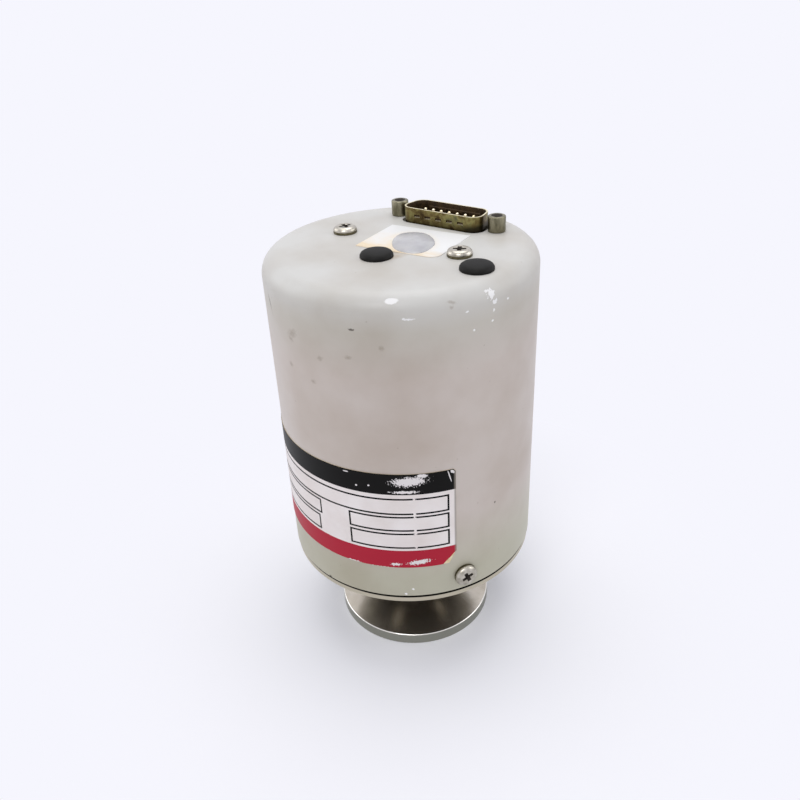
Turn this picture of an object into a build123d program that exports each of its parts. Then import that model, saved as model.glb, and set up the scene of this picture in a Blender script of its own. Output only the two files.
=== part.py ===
from build123d import *
import os
from math import cos, radians, sin, tan

# A capacitance diaphragm gauge that stands on its vacuum flange.
# The origin is the centre of the flange's sealing face. +Z runs up the gauge's axis,
# +X runs along the connector, and the connector stands on the +Y side.
# Sizes are in millimetres and angles in degrees.

# Clamp flange of the 50.5 mm size, its gasket groove and the tube welded into it
flange_radius = 25.25
flange_rim = 3.8
flange_cone_angle = 20.0
groove_inner_radius = 20.35
groove_outer_radius = 23.15
groove_depth = 1.5
tube_radius = 12.7
port_radius = 11.0

# Painted can
cover_radius = 38.3
cover_wall = 1.6
cover_bottom = 33.5
cover_top = 127.9
cover_edge_round = 5.0

# Base plate that closes the can
base_bottom = 31.15
base_lip_radius = 38.0
base_gap = 0.4
base_floor_top = 34.4
spigot_radius = 36.6
spigot_top = 43.6
spigot_inner_radius = 33.7

# Screws through the can's wall
side_screw_height = 39.2
side_screw_angles = (-31.0, 149.0)
screw_radius = 1.72
screw_head_radius = 3.4
screw_head_height = 2.3

# Sensor capsule, stacked upwards from the base plate's floor
capsule_radius = 27.0
tube_top = 36.0
inlet_radius = 6.0
plenum_radius = 23.0
plenum_floor = 39.5
diaphragm_bottom = 42.0
diaphragm_thickness = 0.1
electrode_gap = 0.15
film_thickness = 0.05
ledge_height = 1.0
electrode_radius = 24.3
electrode_thickness = 4.4
capsule_top = 55.0
lid_thickness = 3.0
feedthrough_offset = 9.0
getter_offset = 15.0

# Frame and boards
post_circle_radius = 30.4
post_across_flats = 5.5
post_angles = (45.0, 135.0, 225.0, 315.0)
chassis_bottom = 72.0
chassis_thickness = 1.5
chassis_radius = 34.8
column_places = ((19.5, -0.3), (-19.5, 0.3), (0.0, 27.0), (0.0, -27.0))
cover_screw_places = column_places[:2]
board_radius = 35.2
board_thickness = 1.6
lower_board_bottom = 84.0
upper_board_bottom = 100.7
stud_radius = 1.48
stud_hole_radius = 1.5

# Holes over the two trimmers, and the plugs in them
zero_place = (0.8, -11.6)
span_place = (28.5, -6.6)
plug_hole_radius = 3.2
plug_head_radius = 4.5
trimmer_side = 9.5
trimmer_height = 7.0
adjuster_radius = 3.0
adjuster_depth = 2.0
running_gap = 0.05

# Fifteen-way connector, measured over its drawn shell
connector_x = 1.5
connector_y = 21.5
shell_inner_length = 25.25
shell_inner_width = 8.36
shell_wall = 0.45
shell_slope = 10.0
shell_corner = 2.6
shell_height = 5.84
plate_length = 39.2
plate_width = 12.5
plate_thickness = 0.9
plate_corner = 4.2
jack_spacing = 33.32
jack_radius = 2.55
jack_height = 4.5
jack_thread_radius = 1.25
pin_pitch = 2.77
row_pitch = 2.84
pin_radius = 0.5
pin_tip_height = 2.9
dimple_pitch = 3.7
dimple_height = 2.0

# Adhesive labels
label_start = -145.0
label_end = -35.9
label_bottom = 45.0
label_top = 77.5
label_thickness = 0.15
sticker_length = 25.2
sticker_width = 19.6
sticker_place = (2.2, 3.3)
sticker_turn = 5.1
seal_radius = 6.7
seal_place = (3.4, 3.85)
seal_height = 0.9

# Heights and radii that follow from the driving dimensions
cover_inner_radius = cover_radius - cover_wall
cover_inner_top = cover_top - cover_wall
housing_bottom = diaphragm_bottom + diaphragm_thickness
electrode_seat = housing_bottom + ledge_height
electrode_face = housing_bottom + electrode_gap + film_thickness
electrode_back = electrode_seat + electrode_thickness
lid_top = capsule_top + lid_thickness
chassis_top = chassis_bottom + chassis_thickness
lower_board_top = lower_board_bottom + board_thickness
upper_board_top = upper_board_bottom + board_thickness
plate_bottom = cover_inner_top - plate_thickness
collar_bottom = plate_bottom - 2.4
insulator_rear = collar_bottom - 3.0
trimmer_top = upper_board_top + trimmer_height
jack_places = tuple((connector_x + side * jack_spacing / 2, connector_y) for side in (-1, 1))

fit_gap = 0.02
from_below = (Align.CENTER, Align.CENTER, Align.MIN)


def drum(radius, bottom, top, x=0.0, y=0.0):
    """Upright cylinder between two heights."""
    return Pos(x, y, bottom) * Cylinder(radius, top - bottom, align=from_below)


def slab(length, width, bottom, top, x=0.0, y=0.0):
    """Upright block between two heights."""
    return Pos(x, y, bottom) * Box(length, width, top - bottom, align=from_below)


def hexagon(across_flats, bottom, top, x=0.0, y=0.0):
    """Upright hexagonal bar between two heights."""
    outline = RegularPolygon(across_flats / 2, 6, major_radius=False)
    return Pos(x, y, bottom) * extrude(outline, top - bottom)


def turned(*points):
    """Solid turned about Z from a closed section of (radius, height) points."""
    return revolve(Plane.XZ * make_face(Polyline(*points, close=True)), Axis.Z)


def around(radius, angles):
    """Places (x, y) on a circle at the given angles."""
    return [(radius * cos(radians(a)), radius * sin(radians(a))) for a in angles]


def rim_edges(solid, radius, height=None):
    """Round edges of one radius, at one height where it is given."""
    edges = solid.edges().filter_by(GeomType.CIRCLE)
    edges = edges.filter_by(lambda edge: abs(edge.radius - radius) < 0.01)
    if height is not None:
        edges = edges.filter_by(lambda edge: abs(edge.center().Z - height) < 0.01)
    return edges


def save(node, *solids):
    """Write one sub-part, which may be a group of separate solids."""
    shape = solids[0] if len(solids) == 1 else Compound(children=list(solids))
    export_step(shape, f"parts/{node}.step")


def pan_screw(length, head_radius=screw_head_radius, head_height=screw_head_height, shank=screw_radius):
    """Pan-head screw on Z: its head stands on z = 0 and its shank hangs below it."""
    wall = 0.45 * head_height
    dome = ThreePointArc(
        (head_radius, wall), (0.72 * head_radius, 0.85 * head_height), (0.35 * head_radius, head_height))
    outline = Polyline(
        (0.35 * head_radius, head_height), (0, head_height), (0, -length), (shank, -length), (shank, 0),
        (head_radius, 0), (head_radius, wall))
    screw = revolve(Plane.XZ * make_face(outline + dome), Axis.Z)
    depth = 0.6 * head_height
    for turn in (0, 90):
        arm = slab(1.05 * head_radius, 0.26 * head_radius, head_height - depth, head_height + 1)
        screw -= Rot(0, 0, turn) * arm
    return screw


def small_screw(length, head_radius, head_height, shank):
    """Cylindrical-head screw on Z with a straight slot, head standing on z = 0."""
    screw = drum(head_radius, 0, head_height) + drum(shank, -length, 0)
    return screw - slab(3 * head_radius, 0.8, 0.5 * head_height, head_height + 1)


def d_outline(grow):
    """The connector's D outline, grown by an offset. The long side lies towards -Y."""
    lean = tan(radians(shell_slope))
    corner = shell_corner + grow
    half_width = shell_inner_width / 2 + grow
    long_half = shell_inner_length / 2 + grow + corner * (1 / tan(radians(45 - shell_slope / 2)) - 1)
    short_half = long_half - 2 * half_width * lean
    corners = ((-long_half, -half_width), (long_half, -half_width), (short_half, half_width),
               (-short_half, half_width))
    outline = make_face(Polyline(*corners, close=True))
    return fillet(outline.vertices(), corner)


def d_block(grow, bottom, top):
    """Upright D-shaped block at the connector's place."""
    return Pos(connector_x, connector_y, bottom) * extrude(d_outline(grow), top - bottom)


def make_flange():
    """Clamp flange with a gasket groove in its face and a cone behind its rim."""
    cone_top = flange_rim + (flange_radius - tube_radius) * tan(radians(flange_cone_angle))
    flange = turned(
        (tube_radius, 0), (groove_inner_radius, 0), (groove_inner_radius, groove_depth),
        (groove_outer_radius, groove_depth), (groove_outer_radius, 0), (flange_radius, 0),
        (flange_radius, flange_rim), (tube_radius, cone_top))
    return fillet(rim_edges(flange, flange_radius), 0.35)


def make_tube():
    return turned((port_radius, 0), (tube_radius, 0), (tube_radius, tube_top), (port_radius, tube_top))


def make_base_plate():
    """Floor with a lip under the can, a spigot inside it and counterbored screw holes."""
    lip_top = cover_bottom - base_gap
    plate = turned(
        (tube_radius + 0.1, base_bottom), (base_lip_radius, base_bottom), (base_lip_radius, lip_top),
        (spigot_radius, lip_top), (spigot_radius, spigot_top), (spigot_inner_radius, spigot_top),
        (spigot_inner_radius, base_floor_top), (tube_radius + 0.1, base_floor_top))
    plate = chamfer(rim_edges(plate, base_lip_radius, base_bottom), 0.4)
    for x, y in around(post_circle_radius, post_angles) + around(20, (0, 90, 180, 270)):
        plate -= drum(1.6, base_bottom - 1, base_floor_top + 1, x, y)
        plate -= drum(3.1, base_bottom - 1, base_bottom + 2, x, y)
    for angle in side_screw_angles:
        hole = Rot(0, 90, 0) * drum(screw_radius + fit_gap, spigot_inner_radius - 2, spigot_radius + 2)
        plate -= Rot(0, 0, angle) * Pos(0, 0, side_screw_height) * hole
    return plate


def make_sensor_body():
    """Lower half of the capsule: a socket for the tube, the inlet and the plenum."""
    body = turned(
        (tube_radius + 0.05, base_floor_top), (capsule_radius, base_floor_top),
        (capsule_radius, diaphragm_bottom), (plenum_radius, diaphragm_bottom),
        (plenum_radius, plenum_floor), (inlet_radius, plenum_floor), (inlet_radius, tube_top),
        (tube_radius + 0.05, tube_top))
    for x, y in around(20, (0, 90, 180, 270)):
        body -= drum(stud_hole_radius, base_floor_top - 1, base_floor_top + 4, x, y)
    return body


def make_inlet_baffle():
    """Disc on three feet that keeps particles off the diaphragm."""
    foot_height = 0.8
    baffle = drum(8.6, plenum_floor + foot_height, plenum_floor + foot_height + 0.5)
    for angle in (30, 150, 270):
        foot = slab(1.6, 2.4, plenum_floor, plenum_floor + foot_height, 7.5)
        baffle += Rot(0, 0, angle) * foot
    return baffle


def make_sensor_housing():
    """Upper half of the capsule: the electrode's ledge and the retaining ring's groove."""
    groove_bottom = electrode_back + 1.8
    groove_top = groove_bottom + 1.2
    bore = electrode_radius + 0.2
    return turned(
        (21.5, housing_bottom), (capsule_radius, housing_bottom), (capsule_radius, capsule_top),
        (bore, capsule_top), (bore, groove_top), (bore + 1, groove_top), (bore + 1, groove_bottom),
        (bore, groove_bottom), (bore, electrode_seat), (21.5, electrode_seat))


def make_electrode_disc():
    """Ceramic disc that hangs on the ledge with its boss just above the diaphragm."""
    return turned(
        (0, electrode_face), (21.2, electrode_face), (21.2, electrode_seat),
        (electrode_radius, electrode_seat), (electrode_radius, electrode_back), (0, electrode_back))


def make_electrode_film():
    """Centre electrode and ring electrode on the boss."""
    film_bottom = electrode_face - film_thickness
    ring = drum(15.0, film_bottom, electrode_face) - drum(10.5, film_bottom, electrode_face)
    return drum(8.0, film_bottom, electrode_face), ring


def make_spring_washer():
    return turned(
        (18.5, electrode_back), (24.0, electrode_back + 1.2), (24.0, electrode_back + 1.8),
        (18.5, electrode_back + 0.6))


def make_retaining_ring():
    bottom = electrode_back + 1.8
    top = bottom + 1.2
    ring = drum(electrode_radius + 1.0, bottom, top) - drum(22.0, bottom, top)
    return ring - slab(9, 10, bottom, top, 0, 24)


def make_sensor_lid():
    """Capsule lid with holes for the feedthroughs, the getter and the pinch-off tube."""
    spigot = electrode_radius + 0.1
    lid = drum(capsule_radius, capsule_top, lid_top) + drum(spigot, capsule_top - 1.5, capsule_top)
    for x in (-feedthrough_offset, feedthrough_offset):
        lid -= drum(2.6, capsule_top - 2, lid_top + 1, x)
    lid -= drum(3.0, capsule_top - 2, lid_top + 1, 0, getter_offset)
    return lid - drum(1.65, capsule_top - 2, lid_top + 1, 0, -getter_offset)


def make_feedthrough_bead(x):
    """Glass bead with a collar that seats on the lid."""
    bead = drum(2.6 - fit_gap, capsule_top - 1.5, lid_top, x) + drum(3.4, lid_top, lid_top + 0.6, x)
    return bead - drum(pin_radius + fit_gap, capsule_top - 2, lid_top + 1, x)


def make_getter_housing():
    cup = drum(7.0, lid_top, lid_top + 11, 0, getter_offset)
    cup = fillet(rim_edges(cup, 7.0, lid_top + 11), 1.2)
    return cup - drum(6.2, lid_top, lid_top + 10.2, 0, getter_offset)


def make_getter_pellet():
    bottom = lid_top
    return drum(5, bottom, bottom + 6, 0, getter_offset) - drum(2.2, bottom, bottom + 6, 0, getter_offset)


def make_pinch_tube():
    """Copper pump-out tube, brazed to the lid and squeezed shut at its end."""
    neck = lid_top + 7
    tube = drum(1.6, capsule_top - 1.5, neck, 0, -getter_offset)
    tube += drum(2.7, lid_top, lid_top + 0.8, 0, -getter_offset)
    round_end = Pos(0, -getter_offset, neck) * Circle(1.6)
    flat_end = Pos(0, -getter_offset, neck + 4) * Rectangle(4.4, 0.7)
    tube += loft([round_end, flat_end])
    return tube - drum(1.0, capsule_top - 1.5, neck - 0.5, 0, -getter_offset)


def make_sensor_lead(x):
    """Insulated lead that slips over a feedthrough pin and ends at the lower board."""
    pin_top = lid_top + 6
    lead = drum(0.9, pin_top - 2, lower_board_bottom, x)
    return lead - drum(pin_radius + fit_gap, pin_top - 3, pin_top, x)


def make_base_post(x, y):
    post = hexagon(post_across_flats, base_floor_top, chassis_bottom, x, y)
    post -= drum(stud_hole_radius, base_floor_top, base_floor_top + 8, x, y)
    return post - drum(stud_hole_radius, chassis_bottom - 8, chassis_bottom, x, y)


def make_chassis_plate():
    """Screening plate between the capsule and the boards."""
    plate = drum(chassis_radius, chassis_bottom, chassis_top)
    for x, y in around(post_circle_radius, post_angles):
        plate -= drum(1.6, chassis_bottom, chassis_top, x, y)
    for x, y in column_places:
        plate -= drum(2.0 + fit_gap, chassis_bottom, chassis_top, x, y)
    for x in (-feedthrough_offset, feedthrough_offset):
        plate -= drum(2.0, chassis_bottom, chassis_top, x)
    return plate


def make_lower_column(x, y):
    """Column swaged into the screening plate."""
    column = hexagon(6, chassis_top, lower_board_bottom, x, y)
    column += drum(2.0, chassis_bottom, chassis_top, x, y)
    return column - drum(stud_hole_radius, lower_board_bottom - 7, lower_board_bottom, x, y)


def make_stacked_column(bottom, top, x, y, across_flats, bore_radius, bore_depth):
    """Column whose stud passes through the board below it into the next column."""
    column = hexagon(across_flats, bottom, top, x, y)
    column += drum(stud_radius, bottom - board_thickness - 5, bottom, x, y)
    return column - drum(bore_radius, top - bore_depth, top, x, y)


def make_board(bottom):
    board = drum(board_radius, bottom, bottom + board_thickness)
    for x, y in column_places:
        board -= drum(stud_hole_radius + 0.1, bottom, bottom + board_thickness, x, y)
    return board


def make_pot_core(bottom):
    """Ferrite pot core of the bridge transformer, with its wire slots and centre hole."""
    core = turned((1.6, bottom), (9, bottom), (9, bottom + 8.4), (1.6, bottom + 8.4))
    core -= turned(
        (4.0, bottom + 1.4), (7.6, bottom + 1.4), (7.6, bottom + 7.0), (4.0, bottom + 7.0))
    for side in (-1, 1):
        core -= slab(4, 3.2, bottom + 1.4, bottom + 7.0, 0, side * 8.4)
    return core


def make_coil_former(bottom):
    return turned(
        (4.1, bottom + 1.4), (7.5, bottom + 1.4), (7.5, bottom + 7.0), (4.1, bottom + 7.0))


def make_chip(x, y, bottom, legs_each_side, turn=0):
    """Dual in-line package on its legs."""
    length = legs_each_side * 2.54
    chip = slab(length, 6.4, 0.6, 4.1)
    for i in range(legs_each_side):
        for side in (-1, 1):
            leg_x = (i - (legs_each_side - 1) / 2) * 2.54
            chip += slab(1.2, 0.5, 0, 2.4, leg_x, side * 3.35)
    return Pos(x, y, bottom) * Rot(0, 0, turn) * chip


def make_can_capacitor(x, y, bottom):
    """Electrolytic capacitor with a rolled groove near its foot."""
    can = Pos(x, y, bottom) * turned(
        (0, 0), (4, 0), (4, 1.4), (3.6, 1.9), (4, 2.4), (4, 10.6), (3.5, 11), (0, 11))
    return can


def make_film_capacitor(x, y, bottom, turn=0):
    return Pos(x, y, bottom) * Rot(0, 0, turn) * slab(7.2, 3, 0, 7)


def make_resistor(x, y, bottom, turn=0):
    """Axial resistor: body on two bent leads."""
    resistor = Pos(0, 0, 1.4) * Rot(0, 90, 0) * Cylinder(1.2, 6.2)
    resistor += slab(10.2, 0.6, 1.1, 1.7)
    for side in (-1, 1):
        resistor += slab(0.6, 0.6, 0, 1.7, side * 4.8)
    return Pos(x, y, bottom) * Rot(0, 0, turn) * resistor


def make_regulator(x, y, bottom, turn=0):
    """Upright power package with its tab and three legs."""
    package = slab(10, 4.4, 3.5, 12.5) + slab(10, 1.2, 12.5, 18.5, 0, 1.6)
    package -= Pos(0, 0, 16) * Rot(90, 0, 0) * Cylinder(1.8, 10)
    for i in (-1, 0, 1):
        package += slab(0.9, 0.6, 0, 3.5, i * 2.54)
    return Pos(x, y, bottom) * Rot(0, 0, turn) * package


def make_trimmer(place):
    """Square trimmer with a round well for its adjuster."""
    body = slab(trimmer_side, trimmer_side, upper_board_top + 0.6, trimmer_top, *place)
    for side_x in (-1, 1):
        for side_y in (-1, 1):
            foot_x = place[0] + side_x * 3.6
            foot_y = place[1] + side_y * 3.6
            body += slab(1.2, 1.2, upper_board_top, upper_board_top + 0.6, foot_x, foot_y)
    well_bottom = trimmer_top - adjuster_depth
    return body - drum(adjuster_radius + running_gap, well_bottom, trimmer_top + 1, *place)


def make_adjuster(place):
    """Slotted adjuster that turns in its trimmer's well."""
    top = trimmer_top + 0.4
    adjuster = drum(adjuster_radius, trimmer_top - adjuster_depth, top, *place)
    return adjuster - slab(3 * adjuster_radius, 0.9, top - 1.1, top + 1, *place)


def make_cover():
    """Deep-drawn can with rounded top edge and the holes punched in it."""
    outer = drum(cover_radius, cover_bottom, cover_top)
    outer = fillet(rim_edges(outer, cover_radius, cover_top), cover_edge_round)
    inner = drum(cover_inner_radius, cover_bottom - 1, cover_inner_top)
    inner = fillet(rim_edges(inner, cover_inner_radius, cover_inner_top), cover_edge_round - cover_wall)
    can = outer - inner
    for x, y in cover_screw_places:
        can -= drum(1.95, cover_inner_top - 1, cover_top + 1, x, y)
    for x, y in (zero_place, span_place):
        can -= drum(plug_hole_radius, cover_inner_top - 1, cover_top + 1, x, y)
    for x, y in jack_places:
        can -= drum(1.6, cover_inner_top - 1, cover_top + 1, x, y)
    can -= d_block(shell_wall + 0.6, cover_inner_top - 1, cover_top + 1)
    for angle in side_screw_angles:
        hole = Rot(0, 90, 0) * drum(1.95, cover_inner_radius - 3, cover_radius + 3)
        can -= Rot(0, 0, angle) * Pos(0, 0, side_screw_height) * hole
    return can


def make_plug(place):
    """Push-in plug: a low domed head, a neck through the can and a barb behind it."""
    barb_top = cover_inner_top - fit_gap
    outline = Polyline(
        (plug_head_radius - 1.5, 1.75), (0, 1.9), (0, -4.2), (2.6, -4.2),
        (plug_hole_radius + 0.35, barb_top - cover_top), (plug_hole_radius - 0.05, barb_top - cover_top),
        (plug_hole_radius - 0.05, 0), (plug_head_radius, 0), (plug_head_radius, 0.45))
    shoulder = ThreePointArc(
        (plug_head_radius, 0.45), (plug_head_radius - 0.4, 1.25), (plug_head_radius - 1.5, 1.75))
    plug = revolve(Plane.XZ * make_face(outline + shoulder), Axis.Z)
    return Pos(*place, cover_top) * plug


def make_side_screw(angle):
    screw = Rot(0, 90, 0) * pan_screw(6.0)
    return Rot(0, 0, angle) * Pos(cover_radius, 0, side_screw_height) * screw


def make_connector_shell():
    """Drawn shell: mounting plate behind the can, D-shaped wall through it, grounding dimples."""
    shell_top = cover_inner_top + shell_height
    plate = RectangleRounded(plate_length, plate_width, plate_corner)
    shell = Pos(connector_x, connector_y, plate_bottom) * extrude(plate, plate_thickness)
    shell += d_block(shell_wall, plate_bottom, shell_top)
    shell -= d_block(0, plate_bottom, shell_top)
    for x, y in jack_places:
        shell -= drum(1.6, plate_bottom, cover_inner_top, x, y)
    wall_y = shell_inner_width / 2 + shell_wall
    for i in range(5):
        for side in (-1, 1):
            x = connector_x + (i - 2) * dimple_pitch
            y = connector_y + side * (wall_y + 0.75)
            shell -= Pos(x, y, cover_top + dimple_height) * Sphere(1.05)
    return shell


def make_connector_back():
    """Rear shell: a plate with a skirt and a lip that holds the insulator's collar."""
    back_top = plate_bottom
    plate = RectangleRounded(plate_length, plate_width, plate_corner)
    back = Pos(connector_x, connector_y, back_top - 0.8) * extrude(plate, 0.8)
    back += d_block(0.9, collar_bottom - 0.5, back_top - 0.8)
    back -= d_block(0.4 + fit_gap, collar_bottom, back_top)
    back -= d_block(-0.5 + fit_gap, collar_bottom - 0.5, back_top)
    for x, y in jack_places:
        back -= drum(1.6, back_top - 0.8, back_top, x, y)
    return back


def connector_pin_places():
    """Eight places on the long side's row and seven on the other."""
    places = []
    for count, side in ((8, -1), (7, 1)):
        for i in range(count):
            x = connector_x + (i - (count - 1) / 2) * pin_pitch
            places.append((x, connector_y + side * row_pitch / 2))
    return places


def make_connector_insulator():
    block = d_block(0.4, collar_bottom, plate_bottom)
    block += d_block(-fit_gap, plate_bottom, cover_inner_top + 0.5)
    block += d_block(-0.5, insulator_rear, collar_bottom)
    for x, y in connector_pin_places():
        block -= drum(pin_radius + fit_gap, insulator_rear, cover_inner_top + 0.5, x, y)
    return block


def make_connector_pin(x, y):
    """Round pin with a pointed tip and a solder cup that shoulders on the insulator."""
    tip = cover_top + pin_tip_height
    cup = insulator_rear - 3
    pin = turned(
        (0, cup), (0.85, cup), (0.85, insulator_rear), (pin_radius, insulator_rear),
        (pin_radius, tip - 0.5), (0.2, tip), (0, tip))
    return Pos(x, y, 0) * pin


def make_jack_post(x, y):
    """Round jack post: tapped head on the can and a stud down through both plates."""
    top = cover_top + jack_height
    post = drum(jack_radius, cover_top, top, x, y)
    post = chamfer(rim_edges(post, jack_radius), 0.3)
    post += drum(1.4, plate_bottom - 3.6, cover_top, x, y)
    return post - drum(jack_thread_radius, cover_top + 0.4, top, x, y)


def make_jack_nut(x, y):
    top = plate_bottom - 0.8
    return hexagon(4.75, top - 2.4, top, x, y) - drum(1.4 + fit_gap, top - 2.4, top, x, y)


def make_header(x, y):
    return slab(27, 9, upper_board_top, upper_board_top + 8.5, x, y)


def make_ribbon(header_y):
    """Flat lead from the back of the connector to the header on the upper board."""
    header_top = upper_board_top + 8.5
    step = (insulator_rear - header_top) / 2
    path = FilletPolyline(
        (connector_y, insulator_rear), (connector_y, insulator_rear - step),
        (header_y, header_top + step), (header_y, header_top), radius=1.5)
    ribbon = extrude(Plane.YZ * trace(path, 1.0), 11, both=True)
    return Pos(connector_x, 0, 0) * ribbon


def make_board_link():
    """Pin strip that joins the two boards."""
    strip = slab(20.3, 2.4, lower_board_top, lower_board_top + 8.5, 0, 32.2)
    socket = slab(20.3, 2.4, lower_board_top + 8.5, upper_board_bottom, 0, 32.2)
    return strip, socket


def make_side_label():
    """Wrap-around label on the can's wall, torn at its lower right corner."""
    inner = cover_radius + fit_gap
    section = make_face(Polyline(
        (inner, label_bottom), (inner + label_thickness, label_bottom),
        (inner + label_thickness, label_top), (inner, label_top), close=True))
    label = revolve(Plane.XZ * section, Axis.Z, label_end - label_start)
    label = Rot(0, 0, label_start) * label
    tear = make_face(Polyline((-4.2, -1), (-3.4, 1.6), (-1.6, 3.4), (0.4, 6.6), (2, 6.6), (2, -1), close=True))
    tear = Rot(0, 0, label_end) * Pos(cover_radius - 2, 0, label_bottom) * extrude(Plane.YZ * tear, 6)
    return label - tear


def make_top_sticker():
    """Square sticker on the can's top with one rounded corner."""
    outline = Rectangle(sticker_length, sticker_width)
    corner = outline.vertices().sort_by(Axis.Y)[:2].sort_by(Axis.X)[-1]
    outline = fillet(corner, 3.0)
    sticker = extrude(outline, label_thickness)
    return Pos(*sticker_place, cover_top) * Rot(0, 0, sticker_turn) * sticker


def make_top_seal():
    """Low domed seal stuck over the sticker."""
    crown = (0.1 * seal_radius, seal_height)
    edge = (seal_radius, 0.3 * seal_height)
    dome = ThreePointArc(edge, (0.62 * seal_radius, 0.78 * seal_height), crown)
    outline = Polyline(crown, (0, seal_height), (0, 0), (seal_radius, 0), edge)
    seal = revolve(Plane.XZ * make_face(outline + dome), Axis.Z)
    return Pos(*seal_place, cover_top + label_thickness) * seal


def save_vacuum_side():
    save("vacuum_flange", make_flange())
    save("neck_tube", make_tube())
    save("base_plate", make_base_plate())


def save_capsule():
    feedthrough_x = (-feedthrough_offset, feedthrough_offset)
    save("sensor_body", make_sensor_body())
    save("inlet_baffle", make_inlet_baffle())
    save("diaphragm", drum(capsule_radius, diaphragm_bottom, housing_bottom))
    save("sensor_housing", make_sensor_housing())
    save("electrode_disc", make_electrode_disc())
    save("electrode_film", *make_electrode_film())
    save("spring_washer", make_spring_washer())
    save("retaining_ring", make_retaining_ring())
    save("sensor_lid", make_sensor_lid())
    save("feedthrough_glass", *[make_feedthrough_bead(x) for x in feedthrough_x])
    save("feedthrough_pins", *[drum(pin_radius, electrode_back, lid_top + 6, x) for x in feedthrough_x])
    save("sensor_leads", *[make_sensor_lead(x) for x in feedthrough_x])
    save("getter_housing", make_getter_housing())
    save("getter_pellet", make_getter_pellet())
    save("pinch_tube", make_pinch_tube())
    screws = []
    for x, y in around(20, (0, 90, 180, 270)):
        screws.append(Pos(x, y, base_bottom + 2) * Rot(180, 0, 0) * small_screw(5, 2.9, 1.7, stud_radius))
    save("sensor_screws", *screws)


def save_frame():
    post_places = around(post_circle_radius, post_angles)
    save("base_posts", *[make_base_post(x, y) for x, y in post_places])
    base_screws = []
    chassis_screws = []
    for x, y in post_places:
        base_screws.append(
            Pos(x, y, base_bottom + 2) * Rot(180, 0, 0) * small_screw(8, 2.9, 1.7, stud_radius))
        chassis_screws.append(Pos(x, y, chassis_top) * small_screw(7, 2.9, 1.7, stud_radius))
    save("base_screws", *base_screws)
    save("chassis_plate", make_chassis_plate())
    save("chassis_screws", *chassis_screws)
    save("lower_columns", *[make_lower_column(x, y) for x, y in column_places])
    upper = []
    for x, y in column_places:
        upper.append(make_stacked_column(lower_board_top, upper_board_bottom, x, y, 6, stud_hole_radius, 7))
    save("upper_columns", *upper)
    tall = []
    for x, y in cover_screw_places:
        tall.append(make_stacked_column(
            upper_board_top, cover_inner_top, x, y, 7, screw_radius + fit_gap, 9))
    save("cover_columns", *tall)
    screw_places = column_places[2:]
    save("board_screws", *[
        Pos(x, y, upper_board_top) * small_screw(6, 2.9, 1.7, stud_radius) for x, y in screw_places])


def save_electronics():
    save("lower_board", make_board(lower_board_bottom))
    save("transformer_core", make_pot_core(lower_board_top))
    save("transformer_coil", make_coil_former(lower_board_top))
    save("lower_chips",
         make_chip(-20, 16, lower_board_top, 7, 90), make_chip(20, 16, lower_board_top, 7, 90),
         make_chip(18, -18, lower_board_top, 4))
    save("film_capacitors", *[
        make_film_capacitor(x, -20, lower_board_top, 90) for x in (-22, -17, -12, -7)])
    save("upper_board", make_board(upper_board_bottom))
    save("upper_chips",
         make_chip(-9.9, -10, upper_board_top, 4), make_chip(-9.9, 2, upper_board_top, 4),
         make_chip(12.5, -23.5, upper_board_top, 7))
    save("can_capacitors", *[
        make_can_capacitor(x, y, upper_board_top) for x, y in ((-28, -12), (-21, -21), (-11, -29))])
    save("resistors", *[make_resistor(x, 6, upper_board_top, 90) for x in (-3, 1, 5, 9, 13)])
    save("regulators", make_regulator(-27, 14, upper_board_top, 60),
         make_regulator(27, 14, upper_board_top, -60))
    save("board_link", *make_board_link())
    for name, place in (("zero", zero_place), ("span", span_place)):
        save(f"{name}_trimmer", make_trimmer(place))
        save(f"{name}_adjuster", make_adjuster(place))


def save_connector():
    header_y = connector_y - 4
    save("connector_shell", make_connector_shell())
    save("connector_back", make_connector_back())
    save("connector_insulator", make_connector_insulator())
    save("connector_pins", *[make_connector_pin(x, y) for x, y in connector_pin_places()])
    save("jack_posts", *[make_jack_post(x, y) for x, y in jack_places])
    save("jack_nuts", *[make_jack_nut(x, y) for x, y in jack_places])
    save("ribbon_header", make_header(connector_x, header_y))
    save("ribbon_lead", make_ribbon(header_y))


def save_outside():
    save("cover", make_cover())
    save("cover_screws", *[Pos(x, y, cover_top) * pan_screw(8) for x, y in cover_screw_places])
    save("side_screws", *[make_side_screw(angle) for angle in side_screw_angles])
    save("zero_plug", make_plug(zero_place))
    save("span_plug", make_plug(span_place))
    save("side_label", make_side_label())
    save("top_sticker", make_top_sticker())
    save("top_seal", make_top_seal())


os.makedirs("parts", exist_ok=True)
save_vacuum_side()
save_capsule()
save_frame()
save_electronics()
save_connector()
save_outside()
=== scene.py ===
import math

import bmesh
import bpy
from mathutils import Matrix, Vector


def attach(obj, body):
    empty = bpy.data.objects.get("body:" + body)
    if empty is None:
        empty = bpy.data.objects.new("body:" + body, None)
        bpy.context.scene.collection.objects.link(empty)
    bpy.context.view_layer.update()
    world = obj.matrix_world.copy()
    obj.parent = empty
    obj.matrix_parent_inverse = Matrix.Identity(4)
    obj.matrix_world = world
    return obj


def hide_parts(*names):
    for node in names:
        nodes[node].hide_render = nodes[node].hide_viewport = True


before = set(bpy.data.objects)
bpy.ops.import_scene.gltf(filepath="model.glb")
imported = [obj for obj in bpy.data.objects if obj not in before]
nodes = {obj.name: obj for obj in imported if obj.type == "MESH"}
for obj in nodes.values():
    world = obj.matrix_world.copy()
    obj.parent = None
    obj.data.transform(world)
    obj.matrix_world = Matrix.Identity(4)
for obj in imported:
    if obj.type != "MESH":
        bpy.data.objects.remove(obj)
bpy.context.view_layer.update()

# Capacitance diaphragm gauge, dressed around its CAD frame.
# Sizes in the dictionaries are millimetres and degrees, and mm turns them to metres.
mm = 0.001
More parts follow.
